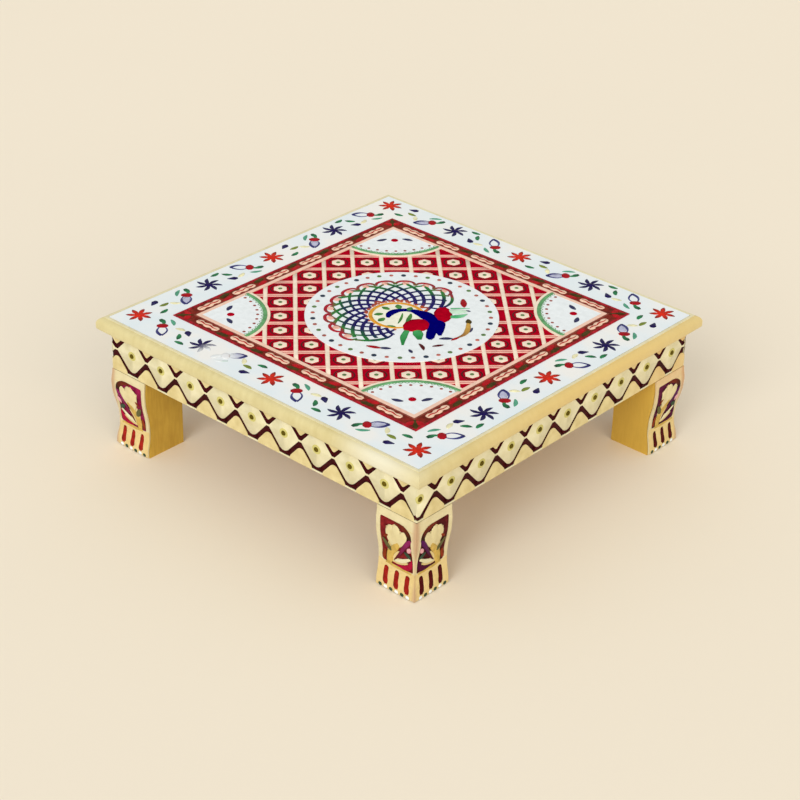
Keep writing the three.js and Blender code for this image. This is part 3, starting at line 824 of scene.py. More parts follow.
# %% Rings of the frame
def frame_piece(piece, name, paint):
    """Slides a piece of the frame to its place off the middle, and paints it."""
    piece.data.transform(Matrix.Translation(FRAME_MIDDLE_PLACE * MM))
    on_top(piece, f"frame_{name}", paint)


def square_ring(inner, outer, low, top):
    """A flat square ring between two half widths."""
    let_go()
    bpy.ops.mesh.primitive_plane_add(size=2 * outer * MM, location=(0, 0, low * MM))
    bpy.ops.object.transform_apply(location=True)
    open_up()
    bpy.ops.mesh.inset(thickness=(outer - inner) * MM)
    bpy.ops.mesh.delete(type="FACE")
    bpy.ops.mesh.select_all(action="SELECT")
    draw_up(top - low)
    face_outwards()
    pick("EDGE", lambda m, d: m.z > top - 0.001 and abs(d.x * d.y) < 0.01)
    bpy.ops.mesh.bevel(offset=0.06 * MM, segments=2)
    let_go()
    return bpy.context.object


brick = enamel("brick_enamel", "#7E2418", mottle=0.25)
scarlet = enamel("scarlet_enamel", "#B11620", mottle=0.15)
crimson_line = enamel("crimson_line_enamel", "#A81828", mottle=0.3)
umber = enamel("umber_enamel", "#8E4A3C", mottle=0.2)
pale_pink = enamel("pale_pink_enamel", "#F0CBB6", mottle=0.06)
olive = enamel("dark_olive_enamel", "#453A14", mottle=0.2)
blush = enamel("blush_enamel", "#F2CDB2", mottle=0.08)

FRAME_RISE = 0.3
for name, inner, outer, low, rise, paint in (
        ("ground", FRAME_IN - TUCK, FRAME_OUT, -0.2, FRAME_RISE, brick),
        ("outer_line", FRAME_OUT - 2.2, FRAME_OUT + 0.1, -0.1, 0.42, crimson_line),
        ("inner_line", FRAME_IN + 1.9, FRAME_IN + 2.9, -0.1, 0.4, umber),
        ("pink_line", FRAME_IN - 1.4, FRAME_IN + 1.5, -0.1, 0.7, pale_pink)):
    frame_piece(square_ring(inner, outer, SHEET_TOP + low, SHEET_TOP + rise), name, paint)

# %% Links and knots
FRAME_LEVEL = SHEET_TOP + FRAME_RISE
FRAME_MIDDLE = 108.1
KNOT_PITCH = 34.4


def along_frame(offsets):
    """Places on the frame's middle line, at these offsets on each side."""
    return [(*(Matrix.Rotation(turns * QUARTER, 2) @ Vector((x, -FRAME_MIDDLE))), turns * QUARTER)
            for turns in range(4) for x in offsets]


link = [([(x, 0) for x in (-10.5, -9, -7, -4.6, -3.4, -1.2, 1.2, 3.4, 4.6, 7, 9, 10.5)],
         [2.6, 5.0, 5.8, 3.6, 3.6, 5.8, 5.8, 3.6, 3.6, 5.8, 5.0, 2.6])]
vein = [([(-9.5, 0), (-6, 0.5), (-2, -0.5), (2, 0.5), (6, -0.5), (9.5, 0)],
         [0.6, 1.3, 0.9, 1.3, 0.9, 0.5])]
outer_knot = [([(-5.0, -3.8), (-2.4, -3.2), (0.6, -2.6), (4.6, -1.6)], [2.4, 4.6, 4.4, 2.2])]
inner_knot = [([(-4.2, 1.2), (-1.0, 1.8), (2.0, 2.6), (5.0, 3.4)], [2.2, 4.4, 4.6, 2.2])]
corner_red = [([(-5.4, 3.2), (-1.5, 2.8), (2.8, -1.5), (3.2, -5.4)], [2.4, 5.0, 5.0, 2.4])]
corner_dark = [([(-4.6, -4.8), (-2.4, -2.6), (0.4, 0.2), (3.6, 3.4)], [1.8, 3.4, 3.0, 1.4])]
links = along_frame([KNOT_PITCH * (k + 0.5) for k in range(-3, 3)])
knots = along_frame([KNOT_PITCH * k for k in range(-2, 3)])
corners = along_frame([-FRAME_MIDDLE])
for name, drawn, flatness, lift, places, paint in (
        ("links", link, 0.08, 0.0, links, blush),
        ("link_veins", vein, 0.4, 0.2, links, scarlet),
        ("olive_knots", outer_knot, 0.1, 0.0, knots, olive),
        ("red_knots", inner_knot, 0.1, 0.0, knots, scarlet),
        ("corner_reds", corner_red, 0.1, 0.0, corners, scarlet),
        ("corner_darks", corner_dark, 0.14, 0.1, corners, olive)):
    frame_piece(stamp(brush(drawn, flatness, FRAME_LEVEL + lift), places), name, paint)

# %% [markdown]
# ## Corner fans and the central disc
# In the four corners of the field lie white quarter discs with a green arc, a row of dots and
# a trefoil. The middle is a white disc with a ring of beads in three colours. A full disc is cut
# to a quarter by two bisecting planes, which is how one would cut it from paper. The quarter
# keeps half a millimetre to spare, which the frame's pink line covers.

# %% Fans
def disc(radius, level_low, level_top, vertices=96):
    """A thin round plate about the axis, with a rounded upper edge."""
    let_go()
    bpy.ops.mesh.primitive_circle_add(vertices=vertices, radius=radius * MM, fill_type="NGON",
                                      location=(0, 0, level_low * MM))
    bpy.ops.object.transform_apply(location=True)
    open_up()
    draw_up(level_top - level_low)
    face_outwards()
    pick("EDGE", lambda m, d: m.z > level_top - 0.001)
    bpy.ops.mesh.bevel(offset=0.1 * MM, segments=2)
    return bpy.context.object


FAN_TOP = SHEET_TOP + 0.6
FAN_SPARE = 0.5
fan_places = [(*(Matrix.Rotation(turns * QUARTER, 2) @ Vector((FRAME_IN, FRAME_IN))
                 + FRAME_MIDDLE_PLACE.xy), turns * QUARTER) for turns in range(4)]


def quarter_fan(radius, low, top):
    """A quarter disc whose two straight sides run along -X and -Y from the axis."""
    piece = disc(radius, low, top)
    for direction in ((1, 0, 0), (0, 1, 0)):
        cut_away((FAN_SPARE, FAN_SPARE, 0), direction)
    let_go()
    return piece


def arc(radius, width, first=math.pi, last=3 * QUARTER, count=9, wobble=0.0):
    """An open stroke along an arc about the axis."""
    path = []
    for i in range(count):
        angle = first + (last - first) * i / (count - 1)
        r = radius + wobble * (-1) ** i
        path.append((r * math.cos(angle), r * math.sin(angle)))
    return path, [width] * count


on_top(stamp(quarter_fan(FAN_RADIUS, SHEET_TOP, FAN_TOP - 0.06), fan_places),
       "fan_cream_rims", cream)
on_top(stamp(quarter_fan(FAN_RADIUS - 3, SHEET_TOP, FAN_TOP), fan_places),
       "fan_white_grounds", white_paint)
arc_green = enamel("arc_green_enamel", "#68A56E", mottle=0.15)
on_top(stamp(brush([arc(FAN_RADIUS - 3.6, 3.0)], 0.16, FAN_TOP), fan_places),
       "fan_green_arcs", arc_green)
scallops = [arc(FAN_RADIUS - 5.6, 0.6, count=33, wobble=0.9)]
on_top(stamp(brush(scallops, 0.4, FAN_TOP, 2), fan_places), "fan_scallops", arc_green)

# %% What the fans hold: a row of dots, a red drop and two navy leaves beside it
DOTS_REACH, DROP_REACH, LEAF_REACH = 41, 22, 23
LEAF_ASIDE, LEAF_LEAN = 0.42, 0.4


def out_from(x, y, reach, heading, turn):
    """The place (x, y, turn) that lies so far from a corner, in that heading."""
    return x + reach * math.cos(heading), y + reach * math.sin(heading), turn


fan_dots, drops, petals = [], [], []
for x, y, turn in fan_places:
    for i in range(9):
        heading = turn + math.pi + QUARTER * (i + 0.6) / 9.2
        fan_dots.append(out_from(x, y, DOTS_REACH, heading, heading))
    heading = turn + math.pi + QUARTER / 2
    drops.append(out_from(x, y, DROP_REACH, heading, heading))
    for side in (-1, 1):
        petals.append(out_from(x, y, LEAF_REACH, heading + side * LEAF_ASIDE,
                               heading + side * (QUARTER - LEAF_LEAN)))
russet = enamel("russet_enamel", "#9A5148", mottle=0.15)
on_top(stamp(dot(1.3, 0.22, FAN_TOP, 8), fan_dots), "fan_dots", russet)
on_top(stamp(dot(2.9, 0.4, FAN_TOP), drops), "fan_red_drops", ruby)
navy = enamel("navy_enamel", "#02016A", mottle=0.08, shine=0.0)
slate = enamel("slate_navy_enamel", "#33355C", mottle=0.15)
on_top(stamp(brush([leaf((-3.6, 0), (4.8, 0), 3.8, 0.4)], 0.16, FAN_TOP), petals),
       "fan_navy_leaves", slate)

# %% Central disc and its ring of beads
on_top(disc(DISC_RADIUS, SHEET_TOP, FAN_TOP), "medallion_disc", white_paint)
BEAD_RING = 63.2
BEADS = 44
ring_places = [(BEAD_RING * math.cos(a), BEAD_RING * math.sin(a), a)
               for a in (i * 2 * math.pi / BEADS for i in range(BEADS))]
coral = enamel("coral_enamel", "#B5655A", mottle=0.2)
spruce = enamel("spruce_enamel", "#2C3C50", mottle=0.2)
for name, first, step, radius, paint in (
        ("coral", 1, 2, 1.7, coral), ("dark", 0, 4, 2.1, spruce), ("sage", 2, 4, 1.9, sage)):
    on_top(stamp(dot(radius, 0.3, FAN_TOP, 8), ring_places[first::step]),
           f"medallion_{name}_beads", paint)
print("beads in the ring:", BEADS)

# %% [markdown]
# ## The peacock
# The peacock with its spread train is the oldest figure of this craft. The train is a lattice
# of two sets of spirals that cross, and its colour goes by distance from the centre: orange
# inside, then navy, then green, then red at the scalloped rim. So it needs one paint, which
# measures that distance. The bird itself is a handful of full strokes in navy, red, green and
# gold. It is drawn here afresh, as the craft repeats it, and not after any one picture.

# %% The train's paint: enamel that changes by rings, with ragged borders between the colours
TRAIN_CENTRE = Vector((-1.6, -0.4))
TRAIN_INNER, TRAIN_OUTER = 21.5, 50
PAINT_RAG = 8

train_paint, tree, surface, place = begin("peacock_train_enamel", Roughness=0.4, IOR=1.5,
                                          Specular_IOR_Level=0.03)
away = add(tree, "ShaderNodeVectorMath",
           {0: place, 1: (*TRAIN_CENTRE * MM, SHEET_TOP * MM)}, operation="DISTANCE")
mottle = add(tree, "ShaderNodeTexNoise", {"Vector": place, "Scale": per_mm(9), "Detail": 2})
rag = add(tree, "ShaderNodeMath",
          {0: mottle.outputs[0], 1: 2 * PAINT_RAG * MM, 2: -PAINT_RAG * MM},
          operation="MULTIPLY_ADD")
away = add(tree, "ShaderNodeMath", {0: away.outputs["Value"], 1: rag.outputs[0]},
           operation="ADD")
reach = add(tree, "ShaderNodeMapRange",
            {"Value": away.outputs[0], 1: TRAIN_INNER * MM, 2: (TRAIN_OUTER + 4) * MM})
shade = add(tree, "ShaderNodeValToRGB", {"Fac": reach.outputs[0]},
            stops=[(0.0, "#A84A2C"), (0.97, "#A81E30"), (0.08, "#1E1862"), (0.46, "#120F54"),
                   (0.6, "#1B4A3C"), (0.76, "#2A7A38"), (0.88, "#8C3038")])
tree.links.new(shade.outputs[0], surface.inputs["Base Color"])
print("rings of colour in the train:", len(shade.color_ramp.elements))

# %% The train's lattice and scalloped rim
EYE_CENTRE = Vector((-2.2, -2.6))
TRAIN_FIRST, TRAIN_LAST = math.radians(62), math.radians(308)
RIM_FIRST, RIM_LAST = math.radians(84), math.radians(274)
SCALLOPS = 11
LINES = 15
SWEEP = math.radians(50)


def about_train(radius, angle):
    """A point at a radius and an angle. The train's centre moves outwards from the eye's."""
    share = min(max((radius - TRAIN_INNER) / (TRAIN_OUTER - TRAIN_INNER), 0), 1)
    out = Vector((math.cos(angle), math.sin(angle)))
    return EYE_CENTRE.lerp(TRAIN_CENTRE, share) + radius * out


def train_ends(share):
    """The angles between which the open train lies, from its inner edge (0) to its rim (1)."""
    return (TRAIN_FIRST + (RIM_FIRST - TRAIN_FIRST) * share ** 3,
            TRAIN_LAST + (RIM_LAST - TRAIN_LAST) * share ** 2)


def spiral(first, sweep, width):
    """One line of the lattice, out to the rim, as far as it runs inside the open train."""
    path = []
    for i in range(11):
        share = i / 10
        angle = first + sweep * share
        start, end = train_ends(share)
        if start - 0.03 <= angle <= end + 0.03:
            path.append(about_train(TRAIN_INNER + (TRAIN_OUTER - TRAIN_INNER) * share, angle))
    return path, [width] * len(path)


lattice = []
spacing = (TRAIN_LAST - TRAIN_FIRST) / LINES
for i in range(-3, LINES + 4):
    for sweep, width in ((SWEEP, 2.8), (-SWEEP, 2.1)):
        line = spiral(TRAIN_FIRST + i * spacing, sweep, width)
        if len(line[0]) > 2:
            lattice.append(line)
for end in (0, 1):
    edge = [about_train(TRAIN_INNER + (TRAIN_OUTER - TRAIN_INNER) * k / 6, train_ends(k / 6)[end])
            for k in range(2, 7)]
    lattice.append((edge, [1.8, 2.2, 2.4, 2.4, 2.2]))
scallop_eyes = []
gap = (RIM_LAST - RIM_FIRST) / SCALLOPS
for i in range(SCALLOPS):
    middle = RIM_FIRST + (i + 0.5) * gap
    rim = [(-2.2, -0.5), (1.8, -0.36), (3.4, 0), (1.8, 0.36), (-2.2, 0.5)]
    lattice.append(([about_train(TRAIN_OUTER + r, middle + a * gap) for r, a in rim],
                    [2.0, 2.5, 2.6, 2.5, 2.0]))
    scallop_eyes.append((*about_train(TRAIN_OUTER - 0.4, middle), middle))
on_top(brush(lattice, 0.28, FAN_TOP), "peacock_train", train_paint)
on_top(stamp(dot(3.0, 0.36, FAN_TOP), scallop_eyes), "peacock_scallop_eyes", pink)
print("lines in the train:", len(lattice))

# %% The inner ring, its leaves and dots
amber = enamel("amber_enamel", "#DF9E30", mottle=0.12)
ivory = enamel("ivory_enamel", "#F0F0DC", mottle=0.05)
orange = enamel("orange_enamel", "#B9542C", mottle=0.15)
meadow = enamel("meadow_green_enamel", "#4C8A3E", tip="#2E6A3A", mottle=0.15)
on_top(stamp(dot(19.5, 0.12, FAN_TOP, 40), [(*EYE_CENTRE, 0)]), "peacock_eye_ground", ivory)
amber_ring = [about_train(18.9, math.radians(d)) for d in range(36, 340, 20)]
ring_widths = [1.6, 2.4] + [3] * (len(amber_ring) - 4) + [2.4, 1.4]
on_top(brush([(amber_ring, ring_widths)], 0.2, FAN_TOP), "peacock_amber_ring", amber)
orange_dots = [(*about_train(21.8, TRAIN_FIRST + (TRAIN_LAST - TRAIN_FIRST) * i / 16), 0)
               for i in range(17)]
on_top(stamp(dot(1.3, 0.3, FAN_TOP, 8), orange_dots), "peacock_orange_dots", orange)
inner_leaves = [leaf(about_train(10, math.radians(d)), about_train(16.5, math.radians(d + 9)), w)
                for d, w in ((84, 4.8), (122, 5.2), (164, 4.4), (212, 4.4), (250, 4.8))]
inner_leaves += [leaf((3.4, 6), (9.6, -6.4), 3.6, 0.6), leaf((-1.4, 2.4), (7, -12), 2.2, 0.6),
                 leaf((3.4, -19.4), (9.6, -16.4), 3.4)]
on_top(brush(inner_leaves, 0.15, FAN_TOP + 0.1), "peacock_inner_leaves", meadow)

# %% The bird
feather_green = enamel("feather_green_enamel", "#4DB374", tip="#86CFA0", mottle=0.12)
feather_pale = enamel("pale_green_enamel", "#C9E8CF", mottle=0.06)
leg_green = enamel("leg_green_enamel", "#3FA25C", tip="#1E7A38", mottle=0.12)
gold_line = enamel("gold_line_enamel", "#C9A04A", tip="#8A5A34", mottle=0.12)
BIRD_LEVEL = FAN_TOP + 0.12
bird = [
    ("pale_feather", feather_pale, 0.06, [
        ([(20.6, 27.4), (24, 30.8), (27, 34.2), (29.8, 38.8)], [5.4, 7, 5.6, 1.2])]),
    ("green_feathers", feather_green, 0.09, [
        ([(18.2, 31.8), (22.8, 36.8), (27.8, 41.6)], [1.8, 1.7, 0.8]),
        ([(26, 21.6), (29, 24.8), (31, 28.4), (32.2, 33.8)], [3.4, 5.2, 4.8, 1])]),
    ("green_legs", leg_green, 0.08, [
        ([(22.6, -9.4), (27.6, -13.6), (33.6, -18.8)], [5.6, 7.6, 3]),
        ([(18.4, -15), (23, -23.6), (30.6, -33)], [4, 5, 1.6])]),
    ("wings", ruby, 0.05, [
        ([(12.6, 30.2), (14.6, 27.6), (18.4, 23.4), (22.6, 18.6), (26.4, 14.2), (28.4, 12.2)],
         [3, 9, 13, 13, 8.4, 3]),
        ([(18.6, 6.6), (18.6, 3.6), (18.4, -1), (18, -6), (17.6, -11.6), (17.4, -15.6)],
         [4, 12.6, 17.6, 18.4, 13, 4])]),
    ("neck", navy, 0.08, [
        ([(-4.4, -10), (-7, -5), (-7.4, 0), (-5, 5.6), (0.4, 9.8), (6.4, 11.2), (12.4, 11.4),
          (18.6, 9.8), (24.6, 6), (29.2, 0), (33, -6), (37, -11.6), (39, -13.6)],
         [2.4, 5.6, 6.2, 4.6, 4.4, 8.2, 11, 10.4, 8.8, 7.4, 7, 6, 2.2]),
        ([(24, 12.4), (28, 9.6), (31.8, 4.8), (35.8, -0.4), (39.8, -4.4)],
         [4, 7, 7, 5.8, 2.2])]),
    ("gold_lines", gold_line, 0.25, [
        ([(40, 25.6), (44.4, 20.6), (48.6, 14.6), (50.9, 8.4), (50.6, 2)],
         [2, 3.4, 4.2, 3, 1.6])]),
    ("red_accents", bud_red, 0.2, [
        leaf((15, 49.2), (24, 40), 5), leaf((13.4, -51.2), (23.4, -46.4), 3.6),
        leaf((50.9, 3.6), (50, -4.4), 2.6)]),
    ("dark_accents", maroon, 0.2, [
        leaf((37.4, -23.6), (46, -28.6), 3, 0.8), leaf((46.4, -20), (50.8, -12.6), 2.8)]),
    ("dark_head", olive, 0.25, [leaf((38, 28), (43.4, 22.6), 4.6)]),
    ("slate_accents", slate, 0.2, [
        leaf((42.6, -8.4), (49.6, -1.4), 3.8, 0.5), leaf((48.4, 20.4), (51.6, 13.8), 2),
        leaf((21.8, -47), (28.4, -42.2), 3.4), leaf((38, -34.6), (43, -37), 2.8),
        leaf((28, 37), (31.5, 38.5), 2)]),
]
for name, paint, flatness, drawn in bird:
    on_top(brush(drawn, flatness, BIRD_LEVEL, steps=7), f"peacock_{name}", paint)

# %% [markdown]
# ## Embossed skins
# Apron and legs wear thin aluminium sheet, embossed and lacquered pale gold, with colour
# wiped into the low parts. The CAD model already has the relief, so each skin is a welded copy
# of its node. The faces are then sorted by how far they stand out: low ones take the colour,
# high ones the lacquer. On the real strip the lozenges are taller than in the model, so the
# middle of the strip is stretched and its two margins give way. The real strip was also folded
# two millimetres beside a lozenge's middle, so the pattern slides on along every side.

# %% Lacquered aluminium: pale gold with a fine dimpled grain
FOLD_FROM, FOLD_TO = 141, 145


def lacquer(name, dark, light, rubbed=None, patches=()):
    """Gold lacquer over embossed aluminium: dimpled, cloudy, and rubbed to tan at the folds."""
    material, tree, surface, place = begin(name, Metallic=0.1, Roughness=0.42)
    cloud = add(tree, "ShaderNodeTexNoise", {"Vector": place, "Scale": per_mm(7), "Detail": 5})
    spread = add(tree, "ShaderNodeMapRange", {"Value": cloud.outputs[0], 1: 0.3, 2: 0.7})
    tint = add(tree, "ShaderNodeMix", {0: spread.outputs[0], 6: linear(dark), 7: linear(light)},
               data_type="RGBA").outputs[2]
    if rubbed:
        size = add(tree, "ShaderNodeVectorMath", {0: place}, operation="ABSOLUTE")
        axes = add(tree, "ShaderNodeSeparateXYZ", {0: size.outputs[0]}).outputs
        fold = add(tree, "ShaderNodeMath", {0: axes[0], 1: axes[1]}, operation="MINIMUM")
        near = add(tree, "ShaderNodeMapRange",
                   {"Value": fold.outputs[0], 1: FOLD_FROM * MM, 2: FOLD_TO * MM},
                   interpolation_type="SMOOTHSTEP")
        tint = add(tree, "ShaderNodeMix", {0: near.outputs[0], 6: tint, 7: linear(rubbed)},
                   data_type="RGBA").outputs[2]
    dimple = add(tree, "ShaderNodeTexVoronoi", {"Vector": place, "Scale": per_mm(0.9)})
    coat(tree, surface, patched(tree, place, tint, patches), dimple.outputs[0], 0.25, 0.1)
    return material


cream_lacquer = lacquer("cream_gold_lacquered_aluminium", "#D6CFA6", "#E6E0BE")
deep_lacquer = lacquer("deep_gold_lacquered_aluminium", "#CCBA80", "#DFD09A",
                       patches=((150, 128, 75, "#D8AC62"),))
fold_maroon = enamel("wiped_maroon_lacquer", "#3F0A10", mottle=0.2)
boss_olive = enamel("olive_lacquer", "#5E5010", mottle=0.15)
halo_olive = enamel("pale_olive_lacquer", "#CCC479", mottle=0.08)
print("lacquers mixed:", len([m for m in bpy.data.materials if "lacquer" in m.name]))

# %% Welding a skin and sorting its faces
def welded(node, name, materials):
    """A copy of a CAD node, its loose triangles welded and its materials listed."""
    piece = copied(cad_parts[node])
    piece.name = name
    take(piece)
    open_up()
    bpy.ops.mesh.remove_doubles(threshold=0.002 * MM)
    piece.data.materials.clear()
    for material in materials:
        piece.data.materials.append(material)
    assign(0, lambda m, n: True)
    return piece


def assign(index, wanted):
    """Gives the wanted faces of the piece in edit mode its material of that index."""
    pick("FACE", wanted)
    bpy.context.object.active_material_index = index
    bpy.ops.object.material_slot_assign()


print("skins to weld:", len([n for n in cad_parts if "strip" in n or "plate" in n]))

# %% [markdown]
# The apron strips come first. Where a face lies in its lozenge decides its lacquer, and so the
# sides are numbered and each point is looked at as if its side were the front.

# %% Finding the place in a lozenge
APRON_FACE = 145.0
STRIP_FLOOR = 144.4
LOZENGE_PITCH = 30.1
LOZENGE_HALF = 13.85
LOZENGE_RISE = 12.0
LOZENGE_AXIS = 79.2


def outward(m):
    """How far a point stands from the table's axis, square to the nearest side."""
    return max(abs(m.x), abs(m.y))


def beside_lozenge(m, turns):
    """How far out a point lies in its lozenge: below 1 inside it. Turns counts from front."""
    local = Matrix.Rotation(-turns * QUARTER, 3, "Z") @ m
    along = (APRON_FACE - local.x) if turns % 2 == 0 else (local.x + APRON_FACE)
    step = (along + LOZENGE_PITCH / 2) % LOZENGE_PITCH - LOZENGE_PITCH / 2
    neck = abs(m.z - LOZENGE_AXIS) < 1.0
    return 0 if neck else abs(step) / LOZENGE_HALF + abs(m.z - LOZENGE_AXIS) / LOZENGE_RISE


def side_of(m):
    """The number of the side that a point on the apron belongs to."""
    if abs(m.y) >= abs(m.x):
        return 0 if m.y < 0 else 2
    return 1 if m.x > 0 else 3


print("lozenges on a side:", round(2 * APRON_FACE / LOZENGE_PITCH, 1))

# %% Making the lozenges taller and sliding the pattern on
TALLER = 1.39
MARGIN = 0.3
STRIP_SHIFT = 2.0
SHIFT_FADES = 15


def slid(along):
    """Where a point along a side ends up: the pattern is slid on, but held at the corners."""
    return along + STRIP_SHIFT * min(1, (APRON_FACE - abs(along)) / SHIFT_FADES)


def taller_lozenges(edge):
    """Stretches the strip from its axis towards one edge. What lies beyond is pressed thin."""
    stop = edge - math.copysign(MARGIN, edge - LOZENGE_AXIS)
    cut = LOZENGE_AXIS + (stop - LOZENGE_AXIS) / TALLER
    low, high = sorted((LOZENGE_AXIS, cut))
    bpy.ops.mesh.select_all(action="SELECT")
    bpy.ops.mesh.bisect(plane_co=(0, 0, cut * MM), plane_no=(0, 0, 1))
    pick("VERT", lambda m, n: (m.z - cut) * (edge - cut) > 0.001)
    bpy.ops.transform.resize(value=(1, 1, MARGIN / abs(edge - cut)),
                             center_override=(0, 0, edge * MM))
    pick("VERT", lambda m, n: low - 0.001 < m.z < high + 0.001)
    bpy.ops.transform.resize(value=(1, 1, TALLER), center_override=(0, 0, LOZENGE_AXIS * MM))


print("lozenges are", round(2 * LOZENGE_RISE * TALLER, 1), "mm tall")

# %% The two apron strips
for node in ("apron_strip_front_right", "apron_strip_back_left"):
    strip_low, strip_high = (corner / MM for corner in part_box(node))
    strip = welded(node, f"embossed_{node}", (cream_lacquer, fold_maroon, boss_olive))
    assign(1, lambda m, n: STRIP_FLOOR - 0.05 < outward(m) < APRON_FACE - 0.02
           or outward(m) > STRIP_FLOOR and beside_lozenge(m, side_of(m)) > 1.02)
    assign(2, lambda m, n: outward(m) > APRON_FACE + 0.05)
    taller_lozenges(strip_low.z)
    taller_lozenges(strip_high.z)
    pick("VERT", lambda m, n: outward(m) > APRON_FACE - 0.05 and abs(m.z - LOZENGE_AXIS) < 2.3
         and 0 < beside_lozenge(m, side_of(m)) < 0.2)
    bpy.ops.transform.resize(value=(1, 1, 1 / TALLER), center_override=(0, 0, LOZENGE_AXIS * MM))
    let_go()
    for vertex in strip.data.vertices:
        spin = Matrix.Rotation(side_of(vertex.co) * QUARTER, 3, "Z")
        local = spin.inverted() @ vertex.co / MM
        local.x = slid(local.x)
        vertex.co = spin @ local * MM
    finish_piece(strip, strip.name, "embossed_metal")
    take(strip)
    bpy.ops.object.shade_smooth_by_angle(angle=math.radians(30))
    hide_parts(node)
    print(strip.name, "has", len(strip.data.polygons), "faces")

# %% [markdown]
# ## Gold fields and bosses on the apron
# Between the lozenges the gold was laid thicker: a gusset above each neck and an arch below it,
# with the dark red left between as a line, which a dab of lacquer carries round each lozenge's
# tip. Each lozenge has an olive boss in a pale ring. They are modelled lying flat, with y for
# their height on the apron, then stood up against the front and carried round. The lozenges
# start from opposite ends on neighbouring sides, so the places change sign there.

# %% Setting a motif round the apron
STAND_UP = Matrix.Translation((0, -APRON_FACE * MM, 0)) @ Matrix.Rotation(QUARTER, 4, "X")


def along_apron(name, master, offset, count, paint, aside=0.0):
    """Sets a motif, drawn flat, in every lozenge pitch. Without offset it marks the lozenges."""
    sides = []
    for turns in range(4):
        sign = 1 if turns % 2 == 0 else -1
        centres = [sign * (APRON_FACE - offset - LOZENGE_PITCH * k) for k in range(count)]
        row = stamp(copied(master), [((slid(x) if offset else x + STRIP_SHIFT) + sign * aside,
                                      0, 0) for x in centres])
        open_up()
        for end in (-1, 1):
            cut_away((end * APRON_FACE, 0, 0), (end, 0, 0))
        let_go()
        row.data.transform(Matrix.Rotation(turns * QUARTER, 4, "Z") @ STAND_UP)
        sides.append(row)
    bpy.data.objects.remove(master)
    finish_piece(joined(sides), name, "embossed_metal", paint)


print("motifs stand on the apron's face, at", APRON_FACE, "mm")

# %% A low cushion, drawn up from its outline
def pad(vertices, half_width, half_height, middle, low, rise, turn=0.0, soften=0.0):
    """A low cushion in plan: a flat outline, drawn up and in twice."""
    let_go()
    bpy.ops.mesh.primitive_circle_add(vertices=vertices, radius=MM, fill_type="NGON")
    open_up()
    bpy.ops.transform.rotate(value=turn, center_override=(0, 0, 0))
    bpy.ops.transform.resize(value=(half_width, half_height, 1), center_override=(0, 0, 0))
    bpy.ops.transform.translate(value=(middle[0] * MM, middle[1] * MM, low * MM))
    if soften:
        bpy.ops.mesh.bevel(offset=soften * MM, segments=6, affect="VERTICES")
        bpy.ops.mesh.select_all(action="SELECT")
    draw_up(0.1 - low)
    for share, narrowing in ((0.6, 0.96), (0.4, 0.85)):
        draw_up(rise * share)
        bpy.ops.transform.resize(value=(narrowing, narrowing, 1))
    face_outwards()
    let_go()
    return bpy.context.object


print("a motif's pitch is", LOZENGE_PITCH, "mm")

# %% Gussets, arches, tips, rings and bosses
NECK = LOZENGE_PITCH / 2
PITCHES = 10
GUSSET_AXIS = 89.4
ARCH_FOOT = strip_low.z + 0.05

gusset = pad(3, 11.2, 6.2, (0, GUSSET_AXIS), -0.55, 0.1, turn=math.pi, soften=1.4)
along_apron("apron_gussets", gusset, NECK, PITCHES, deep_lacquer, aside=0.4)
arch_pad = pad(4, 12.1, 13.7, (0, ARCH_FOOT), -0.3, 0.15, soften=4.6)
take(arch_pad)
open_up()
cut_away((0, ARCH_FOOT, 0), (0, -1, 0))
let_go()
along_apron("apron_arches", arch_pad, NECK, PITCHES, deep_lacquer, aside=0.7)
tip = brush([([(-4.2, 66.8), (-1.8, 65.0), (1.8, 65.0), (4.2, 66.8)], [1.6, 2.5, 2.5, 1.6])],
            0.08, 0.03)
along_apron("apron_tips", tip, 0, PITCHES, fold_maroon)
halo = pad(16, 3.8, 3.4, (0, LOZENGE_AXIS), -0.2, 0.05)
along_apron("apron_rings", halo, 0, PITCHES, halo_olive)
boss = pad(12, 1.9, 1.8, (0, LOZENGE_AXIS), 0.0, 0.75)
along_apron("apron_bosses", boss, 0, PITCHES, boss_olive)

# %% The strip's own lower rim
rim = block((-APRON_FACE, ARCH_FOOT, -0.3), (APRON_FACE, ARCH_FOOT + 1.2, 0.12))
let_go()
rim.data.transform(STAND_UP)
rims = [turned(rim, turns) for turns in range(4)]
bpy.data.objects.remove(rim)
finish_piece(joined(rims), "apron_rims", "embossed_metal", cream_lacquer)

# %% [markdown]
# ## The leg plates
# Each leg's two outer faces carry an embossed plate that follows the cyma curve of the leg,
# out at the knee, in at the ankle and out again at the foot. Its panel and toe slots are
# filled with lacquer, red on two legs and raspberry on the other two, and on the side faces
# the same lacquers are darker, as painted shade. The sheet below the panel is a deeper gold.
# The two plates of a leg are drawn together at the mitre, where the real ones are burnished
# until no gap shows. The CAD mesh has long thin faces between the toe slots, which would shade
# in streaks, so its normals are weighted by the size of the faces.

# %% The curve of the leg
SHOULDER, KNEE, ANKLE = 61.8, 51.0, 21.0
OUT_AT = {0.0: 0.2, ANKLE: -2.0, KNEE: 1.4, SHOULDER: 0.6}


def swell(z):
    """How far the leg's face stands out from the apron face at a height."""
    heights = sorted(OUT_AT)
    z = min(max(z, 0.0), SHOULDER)
    for low, high in zip(heights, heights[1:]):
        if z <= high:
            t = (z - low) / (high - low)
            for _ in range(4):
                t -= ((1.5 * t - 1.5 * t * t + t ** 3) - (z - low) / (high - low)) / (
                    1.5 - 3 * t + 3 * t * t)
            return OUT_AT[low] + (OUT_AT[high] - OUT_AT[low]) * (3 * t * t - 2 * t ** 3)
    return OUT_AT[SHOULDER]


print("the leg stands out", round(swell(KNEE), 2), "mm at the knee")

